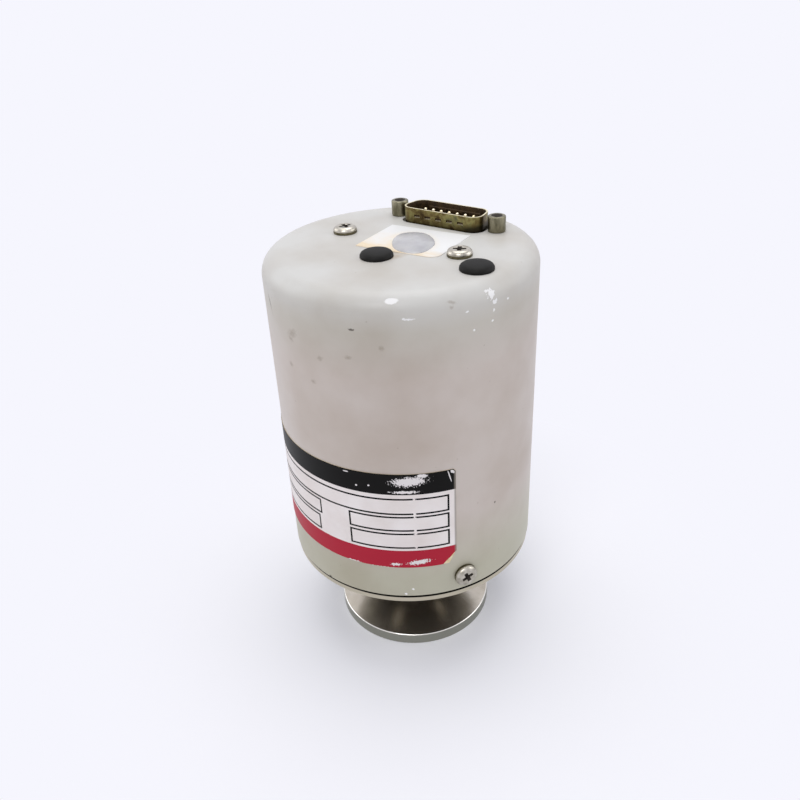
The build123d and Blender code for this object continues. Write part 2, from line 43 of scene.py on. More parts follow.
print("frame loaded:", len(nodes), "nodes")


# Camera at the photograph's place
cameraView = {
    "place": (123.89, -167.10, 199.28),
    "yaw": 37.136,
    "pitch": 30.223,
    "roll": -2.911,
    "lens": 35.342,
    "sensor": 36.0,
    "clipStart": 5.0,
}


def setCamera():
    bpy.ops.object.camera_add(location=[value * mm for value in cameraView["place"]])
    camera = bpy.context.object
    camera.name = "photoCamera"
    turn = Matrix.Rotation(math.radians(cameraView["yaw"]), 3, "Z")
    tilt = Matrix.Rotation(math.radians(90 - cameraView["pitch"]), 3, "X")
    roll = Matrix.Rotation(math.radians(cameraView["roll"]), 3, "Z")
    camera.rotation_euler = (turn @ tilt @ roll).to_euler()
    camera.data.lens = cameraView["lens"]
    camera.data.sensor_width = cameraView["sensor"]
    camera.data.clip_start = cameraView["clipStart"] * mm
    bpy.context.scene.camera = camera


setCamera()
bpy.context.scene.view_settings.view_transform = "Standard"
print("camera set")


# Nodes and materials
def hexColour(code):
    channels = [int(code[i:i + 2], 16) / 255 for i in (1, 3, 5)]
    return [c / 12.92 if c <= 0.04045 else ((c + 0.055) / 1.055) ** 2.4 for c in channels] + [1.0]


def addNode(tree, kind, inputs=None, stops=None, **settings):
    new = tree.nodes.new("ShaderNode" + kind)
    for key, value in settings.items():
        setattr(new, key, value)
    for key, value in (inputs or {}).items():
        if isinstance(value, bpy.types.NodeSocket):
            tree.links.new(value, new.inputs[key])
        else:
            new.inputs[key].default_value = value
    if stops:
        ramp = new.color_ramp
        while len(ramp.elements) < len(stops):
            ramp.elements.new(0.5)
        for element, (place, colour) in zip(ramp.elements, stops):
            element.position = place
            element.color = colour
    return new


def startMaterial(name, **values):
    material = bpy.data.materials.new(name)
    material.use_nodes = True
    tree = material.node_tree
    shader = tree.nodes["Principled BSDF"]
    for key, value in values.items():
        shader.inputs[key.replace("_", " ")].default_value = value
    place = addNode(tree, "TexCoord").outputs["Object"]
    return material, tree, shader, place


# Everyday finishes: two colours that a soft noise blends, uneven gloss and a fine grain
# blotch is the size of the colour patches, grain the size of the surface texture
plainLook = {
    "blend": (0.3, 0.7),
    "gloss": (-0.07, 0.09),
    "relief": 0.6,
}


def plainFinish(name, first, second, blotch, grain, depth, gloss, metallic=0.0, stretch=(1, 1, 1), **values):
    material, tree, shader, place = startMaterial(name, Metallic=metallic, **values)
    laid = addNode(tree, "Mapping", {"Vector": place, "Scale": stretch}).outputs[0]
    patches = addNode(tree, "TexNoise", {"Vector": laid, "Scale": 1 / (blotch * mm), "Detail": 4.0}).outputs[0]
    colour = addNode(tree, "ValToRGB", {"Fac": patches}, stops=(
        (plainLook["blend"][0], hexColour(first)), (plainLook["blend"][1], hexColour(second)))).outputs[0]
    tree.links.new(colour, shader.inputs["Base Color"])
    texture = addNode(tree, "TexNoise", {"Vector": laid, "Scale": 1 / (grain * mm), "Detail": 6.0}).outputs[0]
    rough = addNode(tree, "MapRange", {"Value": patches, "To Min": gloss + plainLook["gloss"][0],
                                       "To Max": gloss + plainLook["gloss"][1]}).outputs[0]
    tree.links.new(rough, shader.inputs["Roughness"])
    bump = addNode(tree, "Bump", {"Height": texture, "Strength": plainLook["relief"],
                                  "Distance": depth * mm}).outputs[0]
    tree.links.new(bump, shader.inputs["Normal"])
    return material


# Turned metal: rings about the gauge's axis, as the lathe left them
turnedLook = {
    "patch": 9.0,
    "ringShare": 0.35,
    "blend": (0.5, 0.85),
    "glossAt": (0.4, 0.9),
    "gloss": (-0.05, 0.1),
    "relief": 0.5,
}


def turnedFinish(name, first, second, pitch, depth, gloss):
    material, tree, shader, place = startMaterial(name, Metallic=1.0)
    flat = addNode(tree, "Mapping", {"Vector": place, "Scale": (1, 1, 0)}).outputs[0]
    radius = addNode(tree, "VectorMath", {0: flat}, operation="LENGTH").outputs["Value"]
    height = addNode(tree, "SeparateXYZ", {0: place}).outputs["Z"]
    along = addNode(tree, "Math", {0: radius, 1: height}, operation="ADD").outputs[0]
    line = addNode(tree, "CombineXYZ", {"X": along}).outputs[0]
    rings = addNode(tree, "TexNoise", {"Vector": line, "Scale": 1 / (pitch * mm), "Detail": 5.0}).outputs[0]
    patches = addNode(tree, "TexNoise", {"Vector": place, "Scale": 1 / (turnedLook["patch"] * mm),
                                         "Detail": 3.0}).outputs[0]
    shade = addNode(tree, "Math", {0: rings, 1: turnedLook["ringShare"], 2: patches},
                    operation="MULTIPLY_ADD").outputs[0]
    colour = addNode(tree, "ValToRGB", {"Fac": shade}, stops=(
        (turnedLook["blend"][0], hexColour(first)), (turnedLook["blend"][1], hexColour(second)))).outputs[0]
    tree.links.new(colour, shader.inputs["Base Color"])
    rough = addNode(tree, "MapRange", {
        "Value": shade, "From Min": turnedLook["glossAt"][0], "From Max": turnedLook["glossAt"][1],
        "To Min": gloss + turnedLook["gloss"][0], "To Max": gloss + turnedLook["gloss"][1]}).outputs[0]
    tree.links.new(rough, shader.inputs["Roughness"])
    bump = addNode(tree, "Bump", {"Height": rings, "Strength": turnedLook["relief"],
                                  "Distance": depth * mm}).outputs[0]
    tree.links.new(bump, shader.inputs["Normal"])
    return material


# One worn spot: an ellipse on a flat sheet, its edge eaten into by a noise
raggedReach = 2.4


def addSpot(tree, sheet, noise, centre, half, tilt, torn, soft):
    away = addNode(tree, "VectorMath", {0: sheet, 1: (centre[0] * mm, centre[1] * mm, 0)},
                   operation="SUBTRACT").outputs[0]
    spot = addNode(tree, "Mapping", {
        "Vector": away, "Rotation": (0, 0, math.radians(tilt)),
        "Scale": (half[0] * mm, half[1] * mm, 1)}, vector_type="TEXTURE").outputs[0]
    reach = addNode(tree, "VectorMath", {0: spot}, operation="LENGTH").outputs["Value"]
    edge = addNode(tree, "Math", {0: noise, 1: torn * raggedReach, 2: reach}, operation="MULTIPLY_ADD").outputs[0]
    limit = 1 + torn * raggedReach / 2
    return addNode(tree, "MapRange", {"Value": edge, "From Min": limit + soft, "From Max": limit - soft}).outputs[0]


# Baked enamel sprayed on the drawn can: eggshell gloss, faint orange peel, stains, old chips and painted glints
paint = {
    "radius": 38.3,
    "roundStart": 122.9,
    "edgeRound": 5.0,
    # colours from the can's lower edge up, each with its share of the height between the two levels
    "levels": (33, 128),
    "shades": ((0.08, "#bbb8a5"), (0.3, "#cbc1b9"), (0.76, "#cbc1b9"), (0.9, "#c5c0b6"), (0.99, "#d1d0cc")),
    "stain": "#e9e3dc",
    "stainSize": 26,
    "stainAt": (0.4, 0.75),
    "speckGap": 5.5,
    "speckAt": (0.025, 0.055),
    "speckShare": 0.25,
    "gloss": (0.36, 0.48),
    "peel": 1.1,
    "peelDepth": 0.012,
    "chipAndGlintDepth": 0.08,
    "ragged": 0.55,
}
# angle, height along the wall, half width, half height, tilt, raggedness
paintMarks = {
    # the bright marks are light chips; the big one on the top round at -57.5 degrees and the blotch near -19 degrees
    # are also painted highlights, glints on the enamel
    "bright": (
        (-57.5, 126.9, 1.7, 0.78, 4, 0.25), (-51.6, 122.2, 1.2, 0.22, 0, 0.8), (-53.4, 122.4, 0.35, 0.25, 0, 0.6),
        (-18.9, 124.9, 1.0, 1.3, 10, 1.1), (-17.4, 122.7, 0.7, 0.6, 30, 1.1), (-20.4, 125.9, 0.8, 0.35, 0, 0.9),
        (-10.5, 122.1, 0.4, 0.3, 0, 0.6), (-17.8, 120.5, 0.3, 0.4, 0, 0.5), (-18.4, 117.8, 0.35, 0.3, 0, 0.5),
        (-29.7, 122.1, 0.45, 0.25, 20, 0.6), (-26.8, 116.8, 0.3, 0.3, 0, 0.5), (-54.4, 36.6, 0.35, 0.4, 0, 0.6),
        (-57.6, 34.7, 0.4, 0.4, 0, 0.7)),
    "dark": (
        (-72.7, 119.3, 0.75, 0.3, -3, 1.0), (-95.2, 34.1, 0.5, 0.3, 0, 0.8), (-15.3, 60.7, 0.3, 0.35, 0, 0.4),
        (-118.6, 119.2, 0.16, 1.5, 20, 0.5)),
    "faint": (
        (-118.7, 118.9, 0.35, 2.2, 20, 0.7), (-101.8, 114.1, 1.5, 0.8, 30, 1), (-103.0, 112.4, 0.8, 0.5, -30, 1),
        (-105.0, 104.5, 0.6, 0.5, -30, 0.9), (-92.0, 102.2, 0.6, 0.45, 0, 0.9), (-35.5, 125.2, 0.8, 0.3, -20, 1),
        (-35.9, 124.0, 0.4, 0.3, 0, 1), (-87.4, 109.7, 0.7, 0.5, 0, 1.1), (-74.9, 111.6, 0.8, 0.4, 0, 1.1),
        (-61.9, 114.8, 0.5, 0.5, 0, 1)),
}
# colour, share and softness of each kind
markLooks = {
    "faint": ("#84735f", 0.42, 0.8),
    "dark": ("#453a30", 0.8, 0.35),
    "bright": ("#f6f5f4", 0.95, 0.15),
}
# old glue beside the zero plug: x, y, half width, half height, tilt, raggedness
glueSpots = ((5.2, -9.2, 2.6, 1.3, 70, 0.4), (3.6, -6.9, 1.4, 0.7, -20, 0.6))
glueLook = ("#a5854f", 0.4, 0.7)


def makePaint():
    material, tree, shader, place = startMaterial("bakedEnamel", Coat_Weight=0.06, Coat_Roughness=0.3,
                                                  Specular_IOR_Level=0.32)
    parts = addNode(tree, "SeparateXYZ", {0: place})
    height = parts.outputs["Z"]
    angle = addNode(tree, "Math", {0: parts.outputs["Y"], 1: parts.outputs["X"]}, operation="ARCTAN2").outputs[0]
    arc = addNode(tree, "Math", {0: angle, 1: paint["radius"] * mm}, operation="MULTIPLY").outputs[0]
    onRound = addNode(tree, "MapRange", {
        "Value": height, "From Min": paint["roundStart"] * mm,
        "From Max": (paint["roundStart"] + paint["edgeRound"]) * mm}).outputs[0]
    bend = addNode(tree, "Math", {0: onRound}, operation="ARCSINE").outputs[0]
    below = addNode(tree, "Math", {0: height, 1: paint["roundStart"] * mm}, operation="MINIMUM").outputs[0]
    climb = addNode(tree, "Math", {0: bend, 1: paint["edgeRound"] * mm, 2: below},
                    operation="MULTIPLY_ADD").outputs[0]
    wall = addNode(tree, "CombineXYZ", {"X": arc, "Y": climb}).outputs[0]
    flat = addNode(tree, "CombineXYZ", {"X": parts.outputs["X"], "Y": parts.outputs["Y"]}).outputs[0]
    ragged = addNode(tree, "TexNoise", {"Vector": place, "Scale": 1 / (paint["ragged"] * mm),
                                        "Detail": 3.0}).outputs[0]

    # the marks on the wall are laid out as on an unrolled sheet, the glue on the flat top
    layers = []
    for kind, (code, share, soft) in markLooks.items():
        spots = [(wall, math.radians(turn) * paint["radius"], *rest) for turn, *rest in paintMarks[kind]]
        layers.append((spots, code, share, soft))
    layers.append(([(flat, *spot) for spot in glueSpots], *glueLook))
    stencils = []
    for spots, code, share, soft in layers:
        mask = 0.0
        for sheet, x, y, halfWidth, halfHeight, tilt, torn in spots:
            spot = addSpot(tree, sheet, ragged, (x, y), (halfWidth, halfHeight), tilt, torn, soft)
            mask = addNode(tree, "Math", {0: mask, 1: spot}, operation="MAXIMUM").outputs[0]
        fade = addNode(tree, "Math", {0: mask, 1: share}, operation="MULTIPLY").outputs[0]
        stencils.append((mask, fade, code))
    # the bright marks, chips and painted glints alike, also sink a little into the surface
    chipAndGlintMask = stencils[list(markLooks).index("bright")][0]

    up = addNode(tree, "MapRange", {"Value": height, "From Min": paint["levels"][0] * mm,
                                    "From Max": paint["levels"][1] * mm}).outputs[0]
    colour = addNode(tree, "ValToRGB", {"Fac": up}, stops=[
        (share, hexColour(code)) for share, code in paint["shades"]]).outputs[0]
    stains = addNode(tree, "TexNoise", {"Vector": place, "Scale": 1 / (paint["stainSize"] * mm),
                                        "Detail": 5.0}).outputs[0]
    soiled = addNode(tree, "MapRange", {"Value": stains, "From Min": paint["stainAt"][0],
                                        "From Max": paint["stainAt"][1]}).outputs[0]
    colour = addNode(tree, "Mix", {0: soiled, 6: colour, 7: hexColour(paint["stain"])}, data_type="RGBA",
                     blend_type="MULTIPLY").outputs[2]
    specks = addNode(tree, "TexVoronoi", {"Vector": place, "Scale": 1 / (paint["speckGap"] * mm)}).outputs["Distance"]
    speckMask = addNode(tree, "MapRange", {
        "Value": specks, "From Min": paint["speckAt"][0], "From Max": paint["speckAt"][1],
        "To Min": paint["speckShare"], "To Max": 0.0}).outputs[0]
    for share, code in [(speckMask, markLooks["faint"][0])] + [(fade, code) for mask, fade, code in stencils]:
        colour = addNode(tree, "Mix", {0: share, 6: colour, 7: hexColour(code)}, data_type="RGBA").outputs[2]
    tree.links.new(colour, shader.inputs["Base Color"])
    rough = addNode(tree, "MapRange", {"Value": stains, "To Min": paint["gloss"][0],
                                       "To Max": paint["gloss"][1]}).outputs[0]
    tree.links.new(rough, shader.inputs["Roughness"])
    peel = addNode(tree, "TexNoise", {"Vector": place, "Scale": 1 / (paint["peel"] * mm), "Detail": 2.0}).outputs[0]
    bump = addNode(tree, "Bump", {"Height": peel, "Strength": 0.5,
                                  "Distance": paint["peelDepth"] * mm}).outputs[0]
    chips = addNode(tree, "Bump", {"Height": chipAndGlintMask, "Strength": 0.7, "Distance": paint["chipAndGlintDepth"] * mm,
                                   "Normal": bump}, invert=True).outputs[0]
    tree.links.new(chips, shader.inputs["Normal"])
    return material


# Printed vinyl film on paper: fields of ink, thin ruled boxes, rubbed through to the paper in places; painted shade
# along its right edge
label = {
    "start": -145.0,
    "end": -35.4,
    "bottom": 45.0,
    "top": 77.5,
    "radius": 38.32,
    "paperThick": 0.07,
    "filmThick": 0.075,
    "glueGap": 0.005,
    "blackFrom": 70.8,
    "redUpTo": 51.25,
    "line": 0.56,
    "white": "#f2ecea",
    "soiled": "#e4dad5",
    "black": "#0f0e0d",
    "red": "#b12539",
    "rubbed": "#e9e4e3",
    # a darker line along the film's right edge: painted shade
    "edgeShade": "#8f877d",
    "edgeShadeWide": 0.6,
    "edgeShadeShare": 0.75,
    # one place where all the rules are worn through, and how far its line wanders
    "breakAt": -52.4,
    "breakHalf": 0.35,
    "breakWander": 1.6,
    "ragged": 0.5,
    "rubSoft": 0.12,
    "rubDepth": 0.05,
    "soilSize": 11,
    "soilAt": (0.35, 0.75),
    "gloss": (0.4, 0.7),
    "ripple": 4,
    "rippleDepth": 0.03,
    "rows": 16,
}
# left angle, right angle, bottom, top
labelBoxes = (
    (-143.5, -38.3, 64.25, 69.25), (-80.4, -38.3, 58.45, 63.1), (-80.4, -38.3, 52.3, 57.2),
    (-143.5, -95.9, 58.45, 63.1), (-143.5, -97.4, 52.3, 57.2))
# angle, height, half width, half height, tilt, raggedness
labelRubs = (
    (-54.2, 75.1, 4.3, 1.4, 3, 1.0), (-48.9, 76.8, 1.5, 0.55, 0, 0.7), (-55.8, 71.7, 3.6, 0.42, 0, 1.0),
    (-76.1, 72.8, 0.3, 0.28, 0, 0.4), (-70.7, 73.4, 0.28, 0.28, 0, 0.4), (-80.5, 76.7, 0.9, 0.2, 0, 0.5),
    (-37.6, 75.4, 0.16, 1.9, 15, 0.3), (-36.3, 76.7, 0.75, 0.42, -35, 0.5), (-51.1, 46.9, 2.9, 0.75, 6, 1.2),
    (-61.4, 46.2, 1.5, 0.5, 0, 1.2), (-80.2, 44.9, 2.2, 0.4, 0, 1.0), (-68.0, 44.8, 5.0, 0.25, 0, 1.0),
    (-95.0, 44.8, 5.0, 0.2, 0, 1.0))


def makeLabelFilm():
    material, tree, shader, place = startMaterial("printedVinylFilm", Specular_IOR_Level=0.09)
    parts = addNode(tree, "SeparateXYZ", {0: place})
    height = parts.outputs["Z"]
    angle = addNode(tree, "Math", {0: parts.outputs["Y"], 1: parts.outputs["X"]}, operation="ARCTAN2").outputs[0]
    radius = paint["radius"]
    arc = addNode(tree, "Math", {0: angle, 1: radius * mm}, operation="MULTIPLY").outputs[0]
    sheet = addNode(tree, "CombineXYZ", {"X": arc, "Y": height}).outputs[0]
    wobble = addNode(tree, "TexNoise", {"Vector": sheet, "Scale": 1 / (label["ragged"] * mm),
                                        "Detail": 3.0}).outputs[0]
    inBlack = addNode(tree, "Math", {0: height, 1: label["blackFrom"] * mm}, operation="GREATER_THAN").outputs[0]
    inRed = addNode(tree, "Math", {0: height, 1: label["redUpTo"] * mm}, operation="LESS_THAN").outputs[0]

    ruled = 0.0
    for left, right, bottom, top in labelBoxes:
        centre = (math.radians((left + right) / 2) * radius * mm, (bottom + top) / 2 * mm, 0)
        half = (math.radians(right - left) / 2 * radius * mm, (top - bottom) / 2 * mm, 1)
        away = addNode(tree, "VectorMath", {0: sheet, 1: centre}, operation="SUBTRACT").outputs[0]
        away = addNode(tree, "VectorMath", {0: away}, operation="ABSOLUTE").outputs[0]
        away = addNode(tree, "VectorMath", {0: away, 1: half}, operation="SUBTRACT").outputs[0]
        sides = addNode(tree, "SeparateXYZ", {0: away})
        reach = addNode(tree, "Math", {0: sides.outputs[0], 1: sides.outputs[1]}, operation="MAXIMUM").outputs[0]
        reach = addNode(tree, "Math", {0: reach}, operation="ABSOLUTE").outputs[0]
        stroke = addNode(tree, "Math", {0: reach, 1: label["line"] / 2 * mm}, operation="LESS_THAN").outputs[0]
        ruled = addNode(tree, "Math", {0: ruled, 1: stroke}, operation="MAXIMUM").outputs[0]
    breakArc = math.radians(label["breakAt"]) * radius * mm
    wander = label["breakWander"] * mm
    shift = addNode(tree, "Math", {0: wobble, 1: wander, 2: arc}, operation="MULTIPLY_ADD").outputs[0]
    shift = addNode(tree, "Math", {0: shift, 1: breakArc + wander / 2}, operation="SUBTRACT").outputs[0]
    shift = addNode(tree, "Math", {0: shift}, operation="ABSOLUTE").outputs[0]
    whole = addNode(tree, "Math", {0: shift, 1: label["breakHalf"] * mm}, operation="GREATER_THAN").outputs[0]
    ruled = addNode(tree, "Math", {0: ruled, 1: whole}, operation="MULTIPLY").outputs[0]

    rubs = 0.0
    for turn, tall, halfWidth, halfHeight, tilt, torn in labelRubs:
        spot = addSpot(tree, sheet, wobble, (math.radians(turn) * radius, tall), (halfWidth, halfHeight), tilt, torn,
                       label["rubSoft"])
        rubs = addNode(tree, "Math", {0: rubs, 1: spot}, operation="MAXIMUM").outputs[0]
    # painted shade darkens the film towards its right edge
    edgeShaded = addNode(tree, "MapRange", {
        "Value": angle, "From Min": math.radians(label["end"] - label["edgeShadeWide"]),
        "From Max": math.radians(label["end"]), "To Max": label["edgeShadeShare"]}).outputs[0]

    soil = addNode(tree, "TexNoise", {"Vector": place, "Scale": 1 / (label["soilSize"] * mm),
                                      "Detail": 4.0}).outputs[0]
    colour = addNode(tree, "ValToRGB", {"Fac": soil}, stops=(
        (label["soilAt"][0], hexColour(label["white"])), (label["soilAt"][1], hexColour(label["soiled"])))).outputs[0]
    for share, shade in ((ruled, "black"), (inBlack, "black"), (inRed, "red"), (rubs, "rubbed"), (edgeShaded, "edgeShade")):
        colour = addNode(tree, "Mix", {0: share, 6: colour, 7: hexColour(label[shade])}, data_type="RGBA").outputs[2]
    tree.links.new(colour, shader.inputs["Base Color"])
    rough = addNode(tree, "MapRange", {"Value": rubs, "To Min": label["gloss"][0],
                                       "To Max": label["gloss"][1]}).outputs[0]
    tree.links.new(rough, shader.inputs["Roughness"])
    ripple = addNode(tree, "TexNoise", {"Vector": place, "Scale": 1 / (label["ripple"] * mm),
                                        "Detail": 2.0}).outputs[0]
    lift = addNode(tree, "Bump", {"Height": ripple, "Strength": 0.4,
                                  "Distance": label["rippleDepth"] * mm}).outputs[0]
    lift = addNode(tree, "Bump", {"Height": rubs, "Strength": 0.8, "Distance": label["rubDepth"] * mm,
                                  "Normal": lift}, invert=True).outputs[0]
    tree.links.new(lift, shader.inputs["Normal"])
    return material


# Sticker paper on the can's top: soft white with old glue that has yellowed its left corner, its lower edge
# and the ground around the seal
sticker = {
    "length": 25.2,
    "width": 19.6,
    "thick": 0.15,
    "place": (2.2, 3.3),
    "turn": 5.1,
    "corner": 3.0,
    "cornerSteps": 8,
    "edgeSoft": 0.04,
    "white": "#efefee",
    "yellowed": "#ecdabd",
    "cloud": 3.4,
    # where the yellow starts, as a share of the half length or half width
    "leftFrom": 0.3,
    "lowFrom": 1.0,
    "edgeFrom": -0.5,
    "cornerShare": 0.9,
    "haloGrow": (0.9, 1.1),
    "haloDrop": 0.8,
    "haloShare": 0.75,
    "farSpot": ((12.0, -5.0), (5.5, 3.4), 5),
    "yellowAt": (0.08, 0.6),
    "fibre": 0.3,
    "fibreDepth": 0.01,
}
gum = {
    "longHalf": 8.5,
    "shortHalf": 5.9,
    "turn": -52,
    "height": 0.846,
    "place": (3.25, 1.8),
    # bearing from the drop's long axis and how far its edge is pulled out there
    "pulls": ((10, 0.45), (60, 0.1), (150, 0.2), (200, 0.45), (262, -0.1), (320, 0.2)),
    "pullWide": 4,
    "lumps": 0.035,
    "clear": "#dcdde1",
    "milky": "#c6c7cc",
    "haze": 4,
    "skin": 2.2,
    "skinDepth": 0.12,
}


def makeStickerPaper():
    material, tree, shader, place = startMaterial("coatedStickerPaper", Roughness=0.5, Specular_IOR_Level=0.3)
    x, y = sticker["place"]
    local = addNode(tree, "Mapping", {
        "Vector": place, "Location": (x * mm, y * mm, 0), "Rotation": (0, 0, math.radians(sticker["turn"])),
        "Scale": (sticker["length"] / 2 * mm, sticker["width"] / 2 * mm, 1)}, vector_type="TEXTURE").outputs[0]
    sides = addNode(tree, "SeparateXYZ", {0: local})
    stain = addNode(tree, "TexNoise", {"Vector": place, "Scale": 1 / (sticker["cloud"] * mm),
                                       "Detail": 4.0}).outputs[0]
    left, low, edge = [
        addNode(tree, "MapRange", {"Value": sides.outputs[axis], "From Min": sticker[start],
                                   "From Max": -1.0}).outputs[0]
        for axis, start in (("X", "leftFrom"), ("Y", "lowFrom"), ("Y", "edgeFrom"))]
    corner = addNode(tree, "Math", {0: left, 1: low}, operation="MULTIPLY").outputs[0]
    x, y = gum["place"]
    halo = addSpot(tree, place, stain, (x, y - sticker["haloDrop"]), (
        gum["longHalf"] + sticker["haloGrow"][0], gum["shortHalf"] + sticker["haloGrow"][1]), gum["turn"], 0.25, 0.3)
    halo = addNode(tree, "Math", {0: halo, 1: sticker["haloShare"]}, operation="MULTIPLY").outputs[0]
    far = addSpot(tree, place, stain, *sticker["farSpot"], 0.2, 0.45)
    amount = addNode(tree, "Math", {0: edge, 1: halo}, operation="MAXIMUM").outputs[0]
    amount = addNode(tree, "Math", {0: amount, 1: far}, operation="MAXIMUM").outputs[0]
    amount = addNode(tree, "Math", {0: corner, 1: sticker["cornerShare"], 2: amount},
                     operation="MULTIPLY_ADD").outputs[0]
    amount = addNode(tree, "Math", {0: stain, 1: amount}, operation="MULTIPLY").outputs[0]
    amount = addNode(tree, "MapRange", {"Value": amount, "From Min": sticker["yellowAt"][0],
                                        "From Max": sticker["yellowAt"][1]}).outputs[0]
    colour = addNode(tree, "Mix", {0: amount, 6: hexColour(sticker["white"]), 7: hexColour(sticker["yellowed"])},
                     data_type="RGBA").outputs[2]
    tree.links.new(colour, shader.inputs["Base Color"])
    fibre = addNode(tree, "TexNoise", {"Vector": place, "Scale": 1 / (sticker["fibre"] * mm),
                                       "Detail": 4.0}).outputs[0]
    bump = addNode(tree, "Bump", {"Height": fibre, "Strength": 0.4,
                                  "Distance": sticker["fibreDepth"] * mm}).outputs[0]
    tree.links.new(bump, shader.inputs["Normal"])
    return material


# Yellow chromate over plated steel: olive gold, cloudy, with brown where it has been handled,
# darker at the foot as painted shade where it meets the can, and caked with grime on the right
chromate = {
    "cloud": 2.6,
    "shades": ((0.32, "#3f3018"), (0.46, "#6d5f38"), (0.60, "#8a8352"), (0.74, "#5b5a40")),
    # the foot colour is painted shade where the shell meets the can
    "foot": "#33270f",
    "footShadeAt": (130.2, 127.8),
    "footShadeShare": 0.75,
    "caked": "#1b160c",
    "cakedAcross": (5, 14),
    "cakedDown": (131.2, 128.6),
    "cakedCloud": 1.1,
    "cakedAt": (0.85, 1.35),
    "cakedShare": 0.85,
    "gloss": (0.26, 0.5),
    "grain": 0.35,
    "grainDepth": 0.02,
}


def makeChromate():
    material, tree, shader, place = startMaterial("yellowChromate", Metallic=0.85)
    cloud = addNode(tree, "TexNoise", {"Vector": place, "Scale": 1 / (chromate["cloud"] * mm), "Detail": 5.0,
                                       "Distortion": 0.6}).outputs[0]
    colour = addNode(tree, "ValToRGB", {"Fac": cloud}, stops=[
        (share, hexColour(code)) for share, code in chromate["shades"]]).outputs[0]
    parts = addNode(tree, "SeparateXYZ", {0: place})
    foot, under, side = [
        addNode(tree, "MapRange", {
            "Value": parts.outputs[axis], "From Min": chromate[span][0] * mm,
            "From Max": chromate[span][1] * mm, "To Max": most}).outputs[0]
        for axis, span, most in (("Z", "footShadeAt", chromate["footShadeShare"]), ("Z", "cakedDown", 1.0),
                                 ("X", "cakedAcross", 1.0))]
    caked = addNode(tree, "Math", {0: side, 1: under}, operation="MULTIPLY").outputs[0]
    caked = addNode(tree, "Math", {0: cloud, 1: chromate["cakedCloud"], 2: caked},
                    operation="MULTIPLY_ADD").outputs[0]
    caked = addNode(tree, "MapRange", {
        "Value": caked, "From Min": chromate["cakedAt"][0], "From Max": chromate["cakedAt"][1],
        "To Max": chromate["cakedShare"]}).outputs[0]
    for share, shade in ((foot, "foot"), (caked, "caked")):
        colour = addNode(tree, "Mix", {0: share, 6: colour, 7: hexColour(chromate[shade])},
                         data_type="RGBA").outputs[2]
    tree.links.new(colour, shader.inputs["Base Color"])
    rough = addNode(tree, "MapRange", {"Value": cloud, "To Min": chromate["gloss"][0],
                                       "To Max": chromate["gloss"][1]}).outputs[0]
    tree.links.new(rough, shader.inputs["Roughness"])
    grain = addNode(tree, "TexNoise", {"Vector": place, "Scale": 1 / (chromate["grain"] * mm),
                                       "Detail": 3.0}).outputs[0]
    bump = addNode(tree, "Bump", {"Height": grain, "Strength": 0.4,
                                  "Distance": chromate["grainDepth"] * mm}).outputs[0]
    tree.links.new(bump, shader.inputs["Normal"])
    return material


# Etched boards: green mask over copper tracks that run in short straight bands
board = {
    "pitch": 9,
    # the mask over bare laminate and over copper, then how strongly each brick and gap is taken as copper
    "colours": ("#24503a", "#3f7350"),
    "bricks": ("#000000", "#7c7c7c"),
    "gaps": "#ffffff",
    "trackDepth": 0.04,
    "weave": 0.6,
    "weaveDepth": 0.01,
}


def makeBoard():
    material, tree, shader, place = startMaterial("maskedLaminate", Roughness=0.35)
    tracks = addNode(tree, "TexBrick", {
        "Vector": place, "Scale": 1 / (board["pitch"] * mm), "Color1": hexColour(board["bricks"][0]),
        "Color2": hexColour(board["bricks"][1]), "Mortar": hexColour(board["gaps"]),
        "Mortar Size": 0.05, "Row Height": 0.3}).outputs[0]
    colour = addNode(tree, "ValToRGB", {"Fac": tracks}, stops=(
        (0.0, hexColour(board["colours"][0])), (0.8, hexColour(board["colours"][1])))).outputs[0]
    tree.links.new(colour, shader.inputs["Base Color"])
    weave = addNode(tree, "TexChecker", {"Vector": place, "Scale": 1 / (board["weave"] * mm)}).outputs["Fac"]
    bump = addNode(tree, "Bump", {"Height": tracks, "Strength": 0.6,
                                  "Distance": board["trackDepth"] * mm}).outputs[0]
    bump = addNode(tree, "Bump", {"Height": weave, "Strength": 0.2, "Distance": board["weaveDepth"] * mm,
                                  "Normal": bump}).outputs[0]
    tree.links.new(bump, shader.inputs["Normal"])
    return material


# Clear sealing gum gone milky: it lets light in, and its skin is smooth and wet-looking
def makeGum():
    material, tree, shader, place = startMaterial(
        "milkySealingGum", Transmission_Weight=0.35, IOR=1.42, Roughness=0.22, Subsurface_Weight=0.4,
        Subsurface_Radius=(0.002, 0.002, 0.0025))
    shader.subsurface_method = "RANDOM_WALK"
    haze = addNode(tree, "TexNoise", {"Vector": place, "Scale": 1 / (gum["haze"] * mm), "Detail": 3.0}).outputs[0]
    colour = addNode(tree, "ValToRGB", {"Fac": haze},
                     stops=((0.35, hexColour(gum["clear"])), (0.7, hexColour(gum["milky"])))).outputs[0]
    tree.links.new(colour, shader.inputs["Base Color"])
    skin = addNode(tree, "TexNoise", {"Vector": place, "Scale": 1 / (gum["skin"] * mm), "Detail": 2.0}).outputs[0]
    bump = addNode(tree, "Bump", {"Height": skin, "Strength": 0.5, "Distance": gum["skinDepth"] * mm}).outputs[0]
    tree.links.new(bump, shader.inputs["Normal"])
    return material


# Machined aluminium of the base plate: bare and pale on its lip; dark underneath and in the seam under the can,
# painted shade, greyer towards the underside's outer edge
baseLook = {
    "cloud": 5,
    # the first colour darkens the underside as painted shade, the outer colour greys it towards its edge, and the seam
    # colour paints the shade in the gap under the can
    "underShade": "#2a231b",
    "outer": "#7d776b",
    "outerAt": (24, 37),
    "lip": "#bcb5a2",
    "lipAt": (31.45, 31.75),
    "lipWander": 0.5,
    "seamShade": "#16130f",
    "seamShadeAt": (32.9, 33.05),
    "gloss": (0.3, 0.5),
    "grain": 0.4,
    "grainDepth": 0.006,
}


